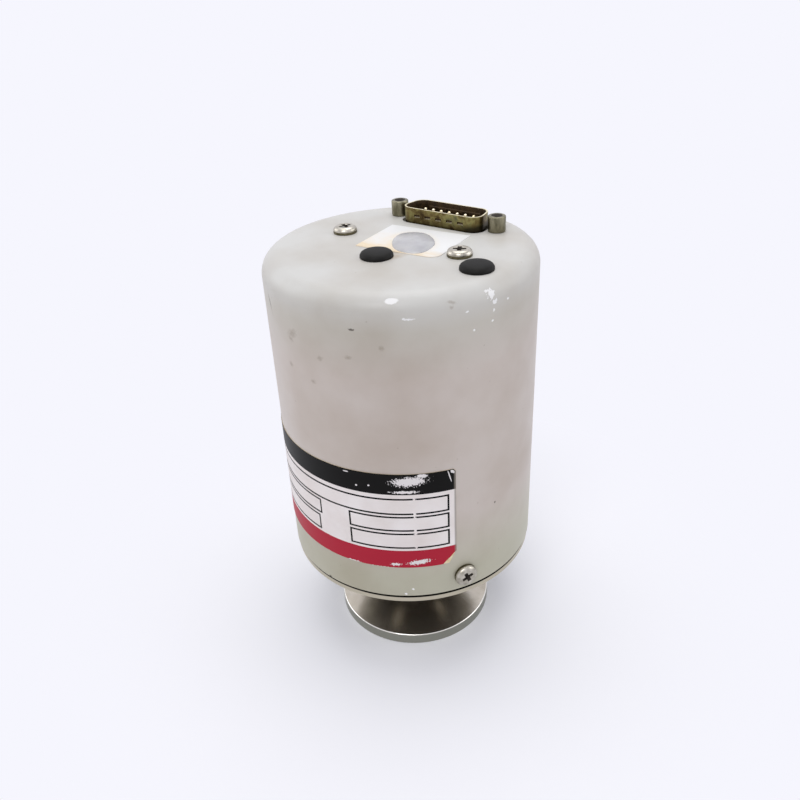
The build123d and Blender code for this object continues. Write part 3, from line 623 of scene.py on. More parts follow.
def makeBaseMetal():
    material, tree, shader, place = startMaterial("underShadedAluminium", Metallic=1.0)
    height = addNode(tree, "SeparateXYZ", {0: place}).outputs["Z"]
    cloud = addNode(tree, "TexNoise", {"Vector": place, "Scale": 1 / (baseLook["cloud"] * mm),
                                       "Detail": 4.0}).outputs[0]
    line = addNode(tree, "Math", {0: cloud, 1: baseLook["lipWander"] * mm, 2: height},
                   operation="MULTIPLY_ADD").outputs[0]
    flat = addNode(tree, "Mapping", {"Vector": place, "Scale": (1, 1, 0)}).outputs[0]
    radius = addNode(tree, "VectorMath", {0: flat}, operation="LENGTH").outputs["Value"]
    colour = hexColour(baseLook["underShade"])
    for measure, shade in ((radius, "outer"), (line, "lip"), (height, "seamShade")):
        low, high = baseLook[shade + "At"]
        share = addNode(tree, "MapRange", {"Value": measure, "From Min": low * mm, "From Max": high * mm}).outputs[0]
        colour = addNode(tree, "Mix", {0: share, 6: colour, 7: hexColour(baseLook[shade])},
                         data_type="RGBA").outputs[2]
    tree.links.new(colour, shader.inputs["Base Color"])
    rough = addNode(tree, "MapRange", {"Value": cloud, "To Min": baseLook["gloss"][0],
                                       "To Max": baseLook["gloss"][1]}).outputs[0]
    tree.links.new(rough, shader.inputs["Roughness"])
    grain = addNode(tree, "TexNoise", {"Vector": place, "Scale": 1 / (baseLook["grain"] * mm),
                                       "Detail": 3.0}).outputs[0]
    bump = addNode(tree, "Bump", {"Height": grain, "Strength": 0.3,
                                  "Distance": baseLook["grainDepth"] * mm}).outputs[0]
    tree.links.new(bump, shader.inputs["Normal"])
    return material


# Fine-turned stainless steel of the flange: near-mirror cone, duller rim with a painted highlight along its top edge
flangeLook = {
    "cloud": 8,
    "shades": ((0.35, "#b8b0a1"), (0.7, "#d3ccbf")),
    "rim": "#98988e",
    "rimAt": (3.9, 3.5),
    # a pale line at the rim's top edge: a painted highlight
    "edgeGlint": "#e4e1da",
    "edgeGlintHeight": 3.8,
    "edgeGlintAt": (0.16, 0.08),
    "gloss": (0.24, 0.36),
    "ring": 0.3,
    "ringDepth": 0.002,
}


def makeFlangeSteel():
    material, tree, shader, place = startMaterial("fineTurnedStainless", Metallic=1.0)
    height = addNode(tree, "SeparateXYZ", {0: place}).outputs["Z"]
    cloud = addNode(tree, "TexNoise", {"Vector": place, "Scale": 1 / (flangeLook["cloud"] * mm),
                                       "Detail": 3.0}).outputs[0]
    colour = addNode(tree, "ValToRGB", {"Fac": cloud}, stops=[
        (share, hexColour(code)) for share, code in flangeLook["shades"]]).outputs[0]
    away = addNode(tree, "Math", {0: height, 1: flangeLook["edgeGlintHeight"] * mm}, operation="SUBTRACT").outputs[0]
    away = addNode(tree, "Math", {0: away}, operation="ABSOLUTE").outputs[0]
    shares = {}
    for measure, shade in ((height, "rim"), (away, "edgeGlint")):
        low, high = flangeLook[shade + "At"]
        shares[shade] = addNode(tree, "MapRange", {"Value": measure, "From Min": low * mm,
                                                   "From Max": high * mm}).outputs[0]
        colour = addNode(tree, "Mix", {0: shares[shade], 6: colour, 7: hexColour(flangeLook[shade])},
                         data_type="RGBA").outputs[2]
    tree.links.new(colour, shader.inputs["Base Color"])
    rough = addNode(tree, "MapRange", {"Value": shares["rim"], "To Min": flangeLook["gloss"][0],
                                       "To Max": flangeLook["gloss"][1]}).outputs[0]
    tree.links.new(rough, shader.inputs["Roughness"])
    flat = addNode(tree, "Mapping", {"Vector": place, "Scale": (1, 1, 0)}).outputs[0]
    radius = addNode(tree, "VectorMath", {0: flat}, operation="LENGTH").outputs["Value"]
    along = addNode(tree, "Math", {0: radius, 1: height}, operation="ADD").outputs[0]
    line = addNode(tree, "CombineXYZ", {"X": along}).outputs[0]
    rings = addNode(tree, "TexNoise", {"Vector": line, "Scale": 1 / (flangeLook["ring"] * mm),
                                       "Detail": 3.0}).outputs[0]
    bump = addNode(tree, "Bump", {"Height": rings, "Strength": 0.3,
                                  "Distance": flangeLook["ringDepth"] * mm}).outputs[0]
    tree.links.new(bump, shader.inputs["Normal"])
    return material


finishes = {
    "paint": makePaint(),
    "baseMetal": makeBaseMetal(),
    "flangeSteel": makeFlangeSteel(),
    "film": makeLabelFilm(),
    "stickerPaper": makeStickerPaper(),
    "chromate": makeChromate(),
    "board": makeBoard(),
    "gum": makeGum(),
    # machine-turned stainless steel: satin rings with a grey-brown cast
    "stainless": turnedFinish("turnedStainless", "#8f8c84", "#b4b1aa", 0.35, 0.012, 0.24),
    # machined aluminium, lightly tarnished: softer and paler than the steel
    "aluminium": turnedFinish("machinedAluminium", "#b3aea4", "#cdc9c1", 0.5, 0.015, 0.36),
    # hardened spring steel: darker, evenly rolled
    "spring": plainFinish("rolledSpringSteel", "#74726e", "#8d8b86", 6, 0.5, 0.01, 0.3, 1.0),
    # nickel plating on screws: bright, a little smeared
    "screw": plainFinish("nickelPlatedSteel", "#9a9588", "#c7c2b7", 1.4, 0.4, 0.004, 0.32, 1.0),
    # the lower rims of the heads, dark and olive: painted shade where the heads sit down
    "shadedRim": plainFinish("shadedNickelPlate", "#4f4a38", "#77715a", 1.2, 0.3, 0.01, 0.4, 1.0),
    # dark in the cross recesses and tapped holes: painted shade of the hollows, with grease and dust caked there
    "greaseAndShade": plainFinish("recessGreaseAndShade", "#1c1712", "#332a20", 0.8, 0.2, 0.03, 0.7),
    # nickel plating gone dull and olive on turned brass
    "dullNickel": plainFinish("dulledNickelOnBrass", "#5f5c48", "#918b75", 1.3, 0.4, 0.012, 0.34, 0.95, (1, 1, 0.4)),
    # plain brass hex stock with a thin tin plate
    "brass": plainFinish("tinnedBrass", "#a79a78", "#beb79c", 5, 0.4, 0.01, 0.33, 1.0),
    # moulded black rubber: matt, faintly dusty
    "rubber": plainFinish("mouldedBlackRubber", "#131211", "#1d1c1a", 2.2, 0.35, 0.03, 0.55, Specular_IOR_Level=0.14),
    # glass-filled brown resin of the connector's insert
    "resin": plainFinish("brownMouldingResin", "#2c1a10", "#3b2415", 1.5, 0.3, 0.02, 0.5),
    # hard gold over the connector's pins
    "gold": plainFinish("goldPlatedContact", "#d8c9a2", "#eee3c8", 1.0, 0.3, 0.005, 0.28, 1.0),
    # the chromate inside the shell and in the dents, darker: painted shade of the hollows, with grime settled there
    "grimyShadedChromate": plainFinish("grimyShadedChromate", "#291c0e", "#463419", 1.5, 0.3, 0.02, 0.5, 0.6),
    # the shell's cut edge, rubbed bright by the mating plug and lighter as a painted highlight; also the dents' lower
    # lips, a painted highlight
    "wornEdgeAndHighlight": plainFinish("wornAndHighlitChromateEdge", "#d6caa2", "#f1e8ca", 1.2, 0.3, 0.005, 0.35, 0.7),
    # sintered alumina: chalk white, very fine grain
    "ceramic": plainFinish("sinteredAlumina", "#e7e3d8", "#f1eee6", 8, 0.3, 0.02, 0.6),
    # fired silver-palladium ink on the ceramic
    "silverInk": plainFinish("firedSilverInk", "#a9a59c", "#bdb9b0", 2, 0.25, 0.01, 0.45, 0.9),
    # blue-green sealing glass around the leads
    "glass": plainFinish("sealingGlass", "#3b5f68", "#4f7780", 2, 0.6, 0.01, 0.12, 0.0, IOR=1.52),
    # nickel-iron sealing alloy, gold-grey
    "pinAlloy": plainFinish("sealingAlloyWire", "#9c9482", "#b3ab98", 2, 0.3, 0.01, 0.28, 1.0),
    # drawn copper tube, browned by brazing
    "copper": plainFinish("brazedCopper", "#a9623f", "#c07c55", 2.5, 0.4, 0.015, 0.3, 1.0),
    # sintered getter metal: dark, porous
    "getter": plainFinish("sinteredGetterMetal", "#4c4a47", "#63605c", 0.8, 0.25, 0.05, 0.7, 0.8),
    # extruded sleeve of the sensor leads
    "sleeve": plainFinish("extrudedLeadSleeve", "#dad8d2", "#e8e6e1", 4, 0.6, 0.01, 0.4),
    # black epoxy packages and sockets, finely sparked
    "epoxy": plainFinish("sparkedBlackEpoxy", "#191919", "#242423", 2, 0.2, 0.02, 0.55),
    # pressed ferrite: graphite grey with a ground sheen
    "ferrite": plainFinish("pressedFerrite", "#303133", "#3f4042", 3, 0.4, 0.02, 0.4),
    # enamelled copper winding under tape
    "winding": plainFinish("enamelledWinding", "#8f4a24", "#b5672f", 0.4, 0.2, 0.04, 0.3, 0.6, (1, 1, 4)),
    # dipped resistor and capacitor lacquer, tan
    "lacquer": plainFinish("dippedTanLacquer", "#b98f5c", "#cba573", 2, 0.5, 0.02, 0.35),
    # shrunk blue sleeve of the can capacitors
    "shrink": plainFinish("shrunkBlueSleeve", "#1f3f7a", "#294d8c", 5, 0.6, 0.01, 0.25),
    # moulded blue trimmer body and its white adjuster
    "blueMoulding": plainFinish("mouldedBlueNylon", "#22539c", "#2c60ab", 3, 0.3, 0.01, 0.35),
    "whiteMoulding": plainFinish("mouldedWhiteNylon", "#e2e0da", "#eeece7", 2, 0.3, 0.01, 0.4),
    # label paper where the film is torn away: its old adhesive has gone yellow
    "labelPaper": plainFinish("yellowedLabelPaper", "#e9dcb9", "#d8bf8c", 1.2, 0.2, 0.02, 0.65),
}
print("finishes made:", len(finishes))


# Mesh helpers
def clearSelection():
    if bpy.context.object and bpy.context.object.mode != "OBJECT":
        bpy.ops.object.mode_set(mode="OBJECT")
    bpy.ops.object.select_all(action="DESELECT")


def takeNew(name):
    piece = bpy.context.object
    piece.name = name
    piece.data.name = name
    bpy.ops.object.transform_apply(location=True, rotation=True, scale=True)
    return piece


def activate(piece):
    clearSelection()
    piece.select_set(True)
    bpy.context.view_layer.objects.active = piece


def pick(piece, kind, test):
    bpy.ops.mesh.select_mode(type=kind)
    bpy.ops.mesh.select_all(action="DESELECT")
    shape = bmesh.from_edit_mesh(piece.data)
    if kind == "FACE":
        for face in shape.faces:
            face.select_set(test(face.calc_center_median() / mm, face.normal))
    elif kind == "EDGE":
        for edge in shape.edges:
            edge.select_set(test(edge.verts[0].co / mm, edge.verts[1].co / mm))
    else:
        for vert in shape.verts:
            vert.select_set(test(vert.co / mm))
    shape.select_flush_mode()
    bmesh.update_edit_mesh(piece.data)


def applyModifier(piece, kind, **settings):
    modifier = piece.modifiers.new(kind.lower(), kind)
    for key, value in settings.items():
        setattr(modifier, key, value)
    bpy.ops.object.modifier_apply(modifier=modifier.name)


def softenEdges(piece, width, angle):
    applyModifier(piece, "BEVEL", width=width * mm, segments=2, limit_method="ANGLE", angle_limit=math.radians(angle))


def extrudeUp(height):
    bpy.ops.mesh.extrude_region_move(TRANSFORM_OT_translate={"value": (0, 0, height * mm)})


def faceOutwards():
    bpy.ops.mesh.select_all(action="SELECT")
    bpy.ops.mesh.normals_make_consistent(inside=False)


def cutOut(piece, cutter):
    activate(piece)
    applyModifier(piece, "BOOLEAN", operation="DIFFERENCE", solver="EXACT", object=cutter)
    bpy.data.objects.remove(cutter)


def dress(piece, finish, slot, *replaced, body="gauge", smooth=32):
    activate(piece)
    if smooth:
        bpy.ops.object.shade_smooth_by_angle(angle=math.radians(smooth))
    if not piece.data.materials:
        piece.data.materials.append(finishes[finish])
    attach(piece, body)
    if replaced:
        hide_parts(*replaced)


# Gives the faces that the test picks another of the piece's materials
def repaint(piece, index, test):
    for face in piece.data.polygons:
        if test(face.center / mm, face.normal):
            face.material_index = index


def roundBar(name, radius, bottom, top, x=0.0, y=0.0, sides=32):
    clearSelection()
    bpy.ops.mesh.primitive_cylinder_add(
        vertices=sides, radius=radius * mm, depth=(top - bottom) * mm,
        location=(x * mm, y * mm, (bottom + top) / 2 * mm))
    return takeNew(name)


# Connector outline, shared by the can's cut-out and the shell
connector = {
    "place": (1.5, 21.5),
    "innerLength": 25.25,
    "innerWidth": 8.36,
    "wall": 0.45,
    "slope": 10.0,
    "corner": 2.6,
    "rim": 132.14,
    "panel": 126.3,
    "plateLength": 39.2,
    "plateWidth": 12.5,
    "plateThick": 0.9,
    "plateCorner": 4.2,
    "jackSpacing": 33.32,
    "footRound": 0.55,
    "footSteps": 4,
    # how far past the foot's outline an edge may lie and still belong to it
    "footSpare": (0.2, 0.1),
    "dents": 5,
    "dentPitch": 3.7,
    "dentLength": 2.0,
    "dentHeight": 0.8,
    "dentMiddle": 129.92,
    "dentDepth": 0.6,
    "dentInset": 0.14,
    "dentMargin": 0.35,
    "dentRowHalf": 9.0,
    "cornerSteps": 8,
    "edgeSoft": 0.09,
}


def outlineSheet(name, grow, height):
    clearSelection()
    x, y = connector["place"]
    halfWidth = connector["innerWidth"] / 2 + grow
    radius = connector["corner"] + grow
    slope = math.radians(connector["slope"])
    longHalf = connector["innerLength"] / 2 + grow + radius * (1 / math.tan(math.pi / 4 - slope / 2) - 1)
    shortHalf = longHalf - 2 * halfWidth * math.tan(slope)
    bpy.ops.mesh.primitive_plane_add(size=1, location=(x * mm, y * mm, height * mm))
    bpy.context.object.scale = (2 * longHalf * mm, 2 * halfWidth * mm, 1)
    sheet = takeNew(name)
    bpy.ops.object.mode_set(mode="EDIT")
    pick(sheet, "VERT", lambda p: p.y > y)
    bpy.ops.transform.resize(value=(shortHalf / longHalf, 1, 1), center_override=(x * mm, y * mm, height * mm))
    for farSide, corner in ((True, math.pi / 2 + slope), (False, math.pi / 2 - slope)):
        reach = radius / math.tan(corner / 2)
        edgeY = y + halfWidth if farSide else y - halfWidth
        pick(sheet, "VERT", lambda p: abs(p.y - edgeY) < 0.01)
        bpy.ops.mesh.bevel(offset=reach * mm, segments=connector["cornerSteps"], affect="VERTICES")
    bpy.ops.object.mode_set(mode="OBJECT")
    return sheet


# Painted can
can = {
    "radius": 38.3,
    "bottom": 33.55,
    "gape": 0.25,
    "gapeAt": -20,
    "top": 127.9,
    "wall": 1.6,
    "edgeRound": 5.0,
    "edgeSteps": 10,
    "topInset": 0.5,
    "sides": 192,
    "screwPlaces": ((19.5, -0.3), (-19.5, 0.3)),
    "screwHole": 1.95,
    "plugPlaces": ((0.8, -11.6), (28.5, -6.6)),
    "plugHole": 3.2,
    "jackHole": 1.6,
    "sideAngles": (-31, 149),
    "sideHeight": 39.2,
    "cutGap": 0.7,
    "holeRound": 0.16,
}


def makeCan():
    piece = roundBar("paintedCan", can["radius"], can["bottom"], can["top"], sides=can["sides"])
    bpy.ops.object.mode_set(mode="EDIT")
    pick(piece, "FACE", lambda p, n: n.z < -0.9)
    bpy.ops.mesh.delete(type="FACE")
    lean = Vector((math.cos(math.radians(can["gapeAt"])), math.sin(math.radians(can["gapeAt"])), 0))
    bpy.ops.mesh.select_all(action="SELECT")
    bpy.ops.mesh.bisect(plane_co=(0, 0, (can["bottom"] + can["gape"]) * mm), clear_inner=True,
                        plane_no=Vector((0, 0, 1)) - lean * can["gape"] / can["radius"])
    pick(piece, "EDGE", lambda a, b: min(a.z, b.z) > can["top"] - 0.01)
    bpy.ops.mesh.bevel(offset=can["edgeRound"] * mm, segments=can["edgeSteps"], affect="EDGES")
    pick(piece, "FACE", lambda p, n: n.z > 0.999)
    bpy.ops.mesh.inset(thickness=can["topInset"] * mm)
    bpy.ops.object.mode_set(mode="OBJECT")
    applyModifier(piece, "SOLIDIFY", thickness=can["wall"] * mm, offset=-1)
    low, high = can["top"] - 3, can["top"] + 2
    holes = [(x, y, can["screwHole"]) for x, y in can["screwPlaces"]]
    holes += [(x, y, can["plugHole"]) for x, y in can["plugPlaces"]]
    jackX, jackY = connector["place"]
    holes += [(jackX + side * connector["jackSpacing"] / 2, jackY, can["jackHole"]) for side in (-1, 1)]
    for x, y, radius in holes:
        cutOut(piece, roundBar("cutter", radius, low, high, x, y, 48))
    for angle in can["sideAngles"]:
        turn = math.radians(angle)
        across, along = can["radius"] * mm * math.cos(turn), can["radius"] * mm * math.sin(turn)
        clearSelection()
        bpy.ops.mesh.primitive_cylinder_add(
            vertices=32, radius=can["screwHole"] * mm, depth=8 * mm, rotation=(0, math.pi / 2, turn),
            location=(across, along, can["sideHeight"] * mm))
        cutOut(piece, takeNew("cutter"))
    cutter = outlineSheet("cutter", connector["wall"] + can["cutGap"], low)
    bpy.ops.object.mode_set(mode="EDIT")
    bpy.ops.mesh.select_all(action="SELECT")
    extrudeUp(high - low)
    faceOutwards()
    bpy.ops.object.mode_set(mode="OBJECT")
    cutOut(piece, cutter)
    activate(piece)
    softenEdges(piece, can["holeRound"], 55)
    dress(piece, "paint", "painted_can", "cover")
    applyModifier(piece, "WEIGHTED_NORMAL", keep_sharp=True)


makeCan()
print("can made")


# Connector shell: one drawn sheet from the hidden plate up through the can, with pressed dents
def makeShell():
    x, y = connector["place"]
    outer = connector["wall"]
    shell = outlineSheet("connectorShell", outer + connector["footRound"], connector["panel"])
    clearSelection()
    bpy.ops.mesh.primitive_plane_add(size=1, location=(x * mm, y * mm, connector["panel"] * mm))
    bpy.context.object.scale = (connector["plateLength"] * mm, connector["plateWidth"] * mm, 1)
    plate = takeNew("plateOutline")
    bpy.ops.object.mode_set(mode="EDIT")
    bpy.ops.mesh.select_all(action="SELECT")
    bpy.ops.mesh.bevel(offset=connector["plateCorner"] * mm, segments=connector["cornerSteps"], affect="VERTICES")
    bpy.ops.object.mode_set(mode="OBJECT")
    activate(shell)
    plate.select_set(True)
    bpy.ops.object.join()
    bpy.ops.object.mode_set(mode="EDIT")
    bpy.ops.mesh.select_mode(type="FACE")
    bpy.ops.mesh.select_all(action="SELECT")
    bpy.ops.mesh.delete(type="ONLY_FACE")
    bpy.ops.mesh.select_mode(type="EDGE")
    bpy.ops.mesh.select_all(action="SELECT")
    bpy.ops.mesh.bridge_edge_loops()
    faceOutwards()

    # the foot turns up in four steps, then the wall rises with a row of edges at the dents
    spareX, spareY = connector["footSpare"]
    reachX = connector["innerLength"] / 2 + outer + connector["footRound"] + spareX
    reachY = connector["innerWidth"] / 2 + outer + connector["footRound"] + spareY

    def onLoop(a, b):
        return all(abs(p.x - x) < reachX and abs(p.y - y) < reachY for p in (a, b)) \
            and max(abs((a.x + b.x) / 2 - x) / reachX, abs((a.y + b.y) / 2 - y) / reachY) > 0.3
    pick(shell, "EDGE", onLoop)
    lastIn, lastUp = 0.0, 0.0
    for i in range(1, connector["footSteps"] + 1):
        bend = math.pi / 2 * i / connector["footSteps"]
        inward = connector["footRound"] * math.sin(bend)
        upward = connector["footRound"] * (1 - math.cos(bend))
        growX = (reachX - spareX - inward) / (reachX - spareX - lastIn)
        growY = (reachY - spareY - inward) / (reachY - spareY - lastIn)
        extrudeUp(upward - lastUp)
        bpy.ops.transform.resize(value=(growX, growY, 1), center_override=(x * mm, y * mm, connector["panel"] * mm))
        lastIn, lastUp = inward, upward
    height = connector["panel"] + connector["footRound"]
    dentLow = connector["dentMiddle"] - connector["dentHeight"] / 2
    margin = connector["dentMargin"]
    for level in (dentLow - margin, dentLow, dentLow + connector["dentHeight"],
                  dentLow + connector["dentHeight"] + margin, connector["rim"]):
        extrudeUp(level - height)
        height = level

    # upright cuts beside each dent on both long walls
    dentPlaces = [x + (i - (connector["dents"] - 1) / 2) * connector["dentPitch"] for i in range(connector["dents"])]

    def longWall(p, n):
        return abs(n.y) > 0.99 and p.z > connector["panel"] + connector["footRound"]
    for middle in dentPlaces:
        for side in (-1, 1):
            pick(shell, "FACE", longWall)
            cutAt = middle + side * connector["dentLength"] / 2
            bpy.ops.mesh.bisect(plane_co=(cutAt * mm, 0, 0), plane_no=(1, 0, 0))

    def inDent(p, n):
        near = min(abs(p.x - middle) for middle in dentPlaces)
        return near < 0.4 and longWall(p, n) and abs(p.z - connector["dentMiddle"]) < 0.4
    pick(shell, "FACE", inDent)
    bpy.ops.mesh.inset(thickness=connector["dentInset"] * mm, depth=-connector["dentDepth"] * mm, use_individual=True)
    bpy.ops.object.mode_set(mode="OBJECT")
    activate(shell)
    # the inside faces take the darker chromate, painted shade; the cut edge takes the lighter one, wear and painted
    # highlight
    for name in ("chromate", "grimyShadedChromate", "wornEdgeAndHighlight"):
        shell.data.materials.append(finishes[name])
    applyModifier(shell, "SOLIDIFY", thickness=connector["wall"] * mm, offset=-1, use_even_offset=True,
                  material_offset=1, material_offset_rim=2)
    for side in (-1, 1):
        cutOut(shell, roundBar("cutter", can["jackHole"], connector["panel"] - 3, connector["panel"] + 1,
                               x + side * connector["jackSpacing"] / 2, y))
    activate(shell)
    bpy.ops.object.mode_set(mode="EDIT")
    pick(shell, "FACE", lambda p, n: n.z < -0.9 and p.z < connector["panel"])
    bpy.ops.transform.translate(value=(0, 0, (connector["wall"] - connector["plateThick"]) * mm))
    bpy.ops.object.mode_set(mode="OBJECT")
    softenEdges(shell, connector["edgeSoft"], 40)

    # painted shade, with grime, in the dents; a painted highlight along their lower lips
    wallAt = connector["innerWidth"] / 2 + outer

    def beside(p, inner, edge):
        return inner < wallAt - abs(p.y - y) < edge and abs(p.x - x) < connector["dentRowHalf"]
    repaint(shell, 1, lambda p, n: beside(p, 0.12, 0.9) and (p.y - y) * n.y > -0.2
            and abs(p.z - connector["dentMiddle"]) < connector["dentHeight"] / 2)
    repaint(shell, 2, lambda p, n: beside(p, 0.02, 0.6) and n.z > 0.5
            and connector["dentMiddle"] - 0.6 < p.z < connector["dentMiddle"])
    dress(shell, "chromate", "chromated_steel", "connector_shell", smooth=40)


makeShell()
print("connector shell made")


# Connector pins: round nose above, solder cup behind
pin = {
    "radius": 0.5,
    "tip": 130.8,
    "shoulder": 120.0,
    "cupRadius": 0.85,
    "cupDepth": 3.0,
    "cupWall": 0.3,
    "cupFloor": 0.5,
    "nose": 0.42,
    "pitch": 2.77,
    "rowPitch": 2.84,
    "rows": ((8, -1), (7, 1)),
}


def copyPiece(piece, name, x, y, z=0.0):
    twin = piece.copy()
    twin.data = piece.data.copy()
    twin.name = name
    twin.data.transform(Matrix.Translation((x * mm, y * mm, z * mm)))
    bpy.context.scene.collection.objects.link(twin)
    return twin


def makePins():
    first = roundBar("pinPattern", pin["radius"], pin["shoulder"], pin["tip"], sides=16)
    bpy.ops.object.mode_set(mode="EDIT")
    pick(first, "EDGE", lambda a, b: min(a.z, b.z) > pin["tip"] - 0.01)
    bpy.ops.mesh.bevel(offset=pin["nose"] * mm, segments=4, affect="EDGES")
    pick(first, "FACE", lambda p, n: n.z < -0.9)
    bpy.ops.mesh.inset(thickness=(pin["radius"] - pin["cupRadius"]) * mm)
    extrudeUp(-pin["cupDepth"])
    bpy.ops.mesh.inset(thickness=pin["cupWall"] * mm)
    extrudeUp(pin["cupDepth"] - pin["cupFloor"])
    bpy.ops.object.mode_set(mode="OBJECT")
    x, y = connector["place"]
    pins = []
    for count, side in pin["rows"]:
        for i in range(count):
            across = x + (i - (count - 1) / 2) * pin["pitch"]
            pins.append(copyPiece(first, "pin", across, y + side * pin["rowPitch"] / 2))
    bpy.data.objects.remove(first)
    activate(pins[0])
    for piece in pins:
        piece.select_set(True)
    bpy.ops.object.join()
    pins[0].name = "connectorPins"
    dress(pins[0], "gold", "gilded_pins", "connector_pins", smooth=45)


makePins()


# Jack posts: turned posts with a tapped hole
jack = {
    "radius": 2.55,
    "foot": 127.9,
    "top": 132.4,
    "edge": 0.32,
    "thread": 1.25,
    "crest": 1.02,
    "threadPitch": 0.6,
    "turns": 6,
    "sink": 0.35,
    "stud": 1.4,
    "studEnd": 121.8,
}


def makeJacks():
    first = roundBar("jackPattern", jack["radius"], jack["foot"], jack["top"], sides=48)
    bpy.ops.object.mode_set(mode="EDIT")
    pick(first, "EDGE", lambda a, b: abs(a.z - b.z) < 0.01)
    bpy.ops.mesh.bevel(offset=jack["edge"] * mm, segments=2, affect="EDGES")
    pick(first, "FACE", lambda p, n: n.z > 0.99)
    bpy.ops.mesh.inset(thickness=(jack["radius"] - jack["edge"] - jack["thread"] - jack["sink"]) * mm)
    bpy.ops.mesh.inset(thickness=jack["sink"] * mm, depth=-jack["sink"] * mm)
    pivot = (0, 0, jack["top"] * mm)
    narrow = jack["crest"] / jack["thread"]
    for i in range(jack["turns"]):
        for ratio in (narrow, 1 / narrow):
            extrudeUp(-jack["threadPitch"] / 2)
            bpy.ops.transform.resize(value=(ratio, ratio, 1), center_override=pivot)
    pick(first, "FACE", lambda p, n: n.z < -0.99 and p.z < jack["foot"] + 0.1)
    bpy.ops.mesh.inset(thickness=(jack["radius"] - jack["edge"] - jack["stud"]) * mm)
    extrudeUp(jack["studEnd"] - jack["foot"])
    bpy.ops.object.mode_set(mode="OBJECT")
    x, y = connector["place"]
    for side, name in ((-1, "jackPostLeft"), (1, "jackPostRight")):
        middle = x + side * connector["jackSpacing"] / 2
        post = copyPiece(first, name, middle, y)
        for finish in ("dullNickel", "greaseAndShade"):
            post.data.materials.append(finishes[finish])
        # the tapped hole is darkened: painted shade of the hollow
        repaint(post, 1, lambda p, n: math.hypot(p.x - middle, p.y - y) < jack["thread"] + jack["sink"] / 2
                and p.z > jack["foot"])
        dress(post, "dullNickel", "plated_brass", "jack_posts", smooth=30)
    bpy.data.objects.remove(first)


makeJacks()
print("pins and jack posts made")


# Pan-head screws with a cross recess
screw = {
    "head": 3.4,
    "height": 1.95,
    "shank": 1.72,
    "topLength": 8.0,
    "sideLength": 6.0,
    "recessReach": 2.1,
    "recessWidth": 1.2,
    "recessDepth": 1.5,
    "recessTaper": (0.6, 0.75),
    "crown": 1.2,
    "crownSteps": 6,
    "edgeSoft": 0.07,
    "rimShadeHigh": 0.55,
    "rimShadeWide": 0.2,
    "topTurns": (28, 62),
    "sideTurn": 24,
}


def makeScrew(name, length, turn):
    piece = roundBar(name, screw["head"], 0, screw["height"], sides=64)
    bpy.ops.object.mode_set(mode="EDIT")
    pick(piece, "EDGE", lambda a, b: min(a.z, b.z) > screw["height"] - 0.01)
    bpy.ops.mesh.bevel(offset=screw["crown"] * mm, segments=screw["crownSteps"], profile=0.5, affect="EDGES")
    pick(piece, "FACE", lambda p, n: n.z < -0.99)
    bpy.ops.mesh.inset(thickness=(screw["head"] - screw["shank"]) * mm)
    extrudeUp(-length)
    bpy.ops.object.mode_set(mode="OBJECT")
    for quarter in (0, 90):
        clearSelection()
        depth = screw["recessDepth"] + 1
        bpy.ops.mesh.primitive_cube_add(
            size=1, location=(0, 0, (screw["height"] - screw["recessDepth"] + depth / 2) * mm))
        bpy.context.object.scale = (2 * screw["recessReach"] * mm, screw["recessWidth"] * mm, depth * mm)
        wing = takeNew("wing")
        bpy.ops.object.mode_set(mode="EDIT")
        pick(wing, "FACE", lambda p, n: n.z < -0.9)
        bpy.ops.transform.resize(value=(*screw["recessTaper"], 1), center_override=(0, 0, 0))
        bpy.ops.object.mode_set(mode="OBJECT")
        wing.data.transform(Matrix.Rotation(math.radians(quarter + turn), 4, "Z"))
        cutOut(piece, wing)
    activate(piece)
    softenEdges(piece, screw["edgeSoft"], 45)
    for name in ("screw", "greaseAndShade", "shadedRim"):
        piece.data.materials.append(finishes[name])
    # the cross recess is darkened: painted shade of the hollow
    repaint(piece, 1, lambda p, n: 0.1 < p.z < screw["height"] - 0.15
            and math.hypot(p.x, p.y) < screw["recessReach"] + 0.05)
    # the lower rim of the head is darker: painted shade where it sits down
    repaint(piece, 2, lambda p, n: 0 < p.z < screw["rimShadeHigh"]
            and math.hypot(p.x, p.y) > screw["head"] - screw["rimShadeWide"])
    return piece


def placeScrews():
    for (x, y), turn, name in zip(can["screwPlaces"], screw["topTurns"], ("Right", "Left")):
        piece = makeScrew("topScrew" + name, screw["topLength"], turn)
        piece.data.transform(Matrix.Translation((x * mm, y * mm, can["top"] * mm)))
        dress(piece, "screw", "steel_screws", "cover_screws", smooth=35)
    for i, angle in enumerate(can["sideAngles"]):
        piece = makeScrew("sideScrew" + str(i + 1), screw["sideLength"], screw["sideTurn"])
        lay = Matrix.Rotation(math.radians(90), 4, "Y")
        out = Matrix.Translation((can["radius"] * mm, 0, can["sideHeight"] * mm))
        piece.data.transform(Matrix.Rotation(math.radians(angle), 4, "Z") @ out @ lay)
        dress(piece, "screw", "steel_screws", "side_screws", smooth=35)


placeScrews()
print("screws made")


# Push-in plugs: a low domed head with a thin rim, a neck and a barb behind the can
plug = {
    "head": 4.5,
    "rim": 0.45,
    # radius and height of each step up the dome
    "dome": ((4.42, 0.8), (4.17, 1.18), (3.72, 1.48), (3.1, 1.68), (2.1, 1.83), (1.0, 1.9)),
    "neck": 3.15,
    "barb": 3.55,
    "barbTop": 1.62,
    "tail": 4.2,
    "tailTaper": 0.73,
    "edgeSoft": 0.1,
}


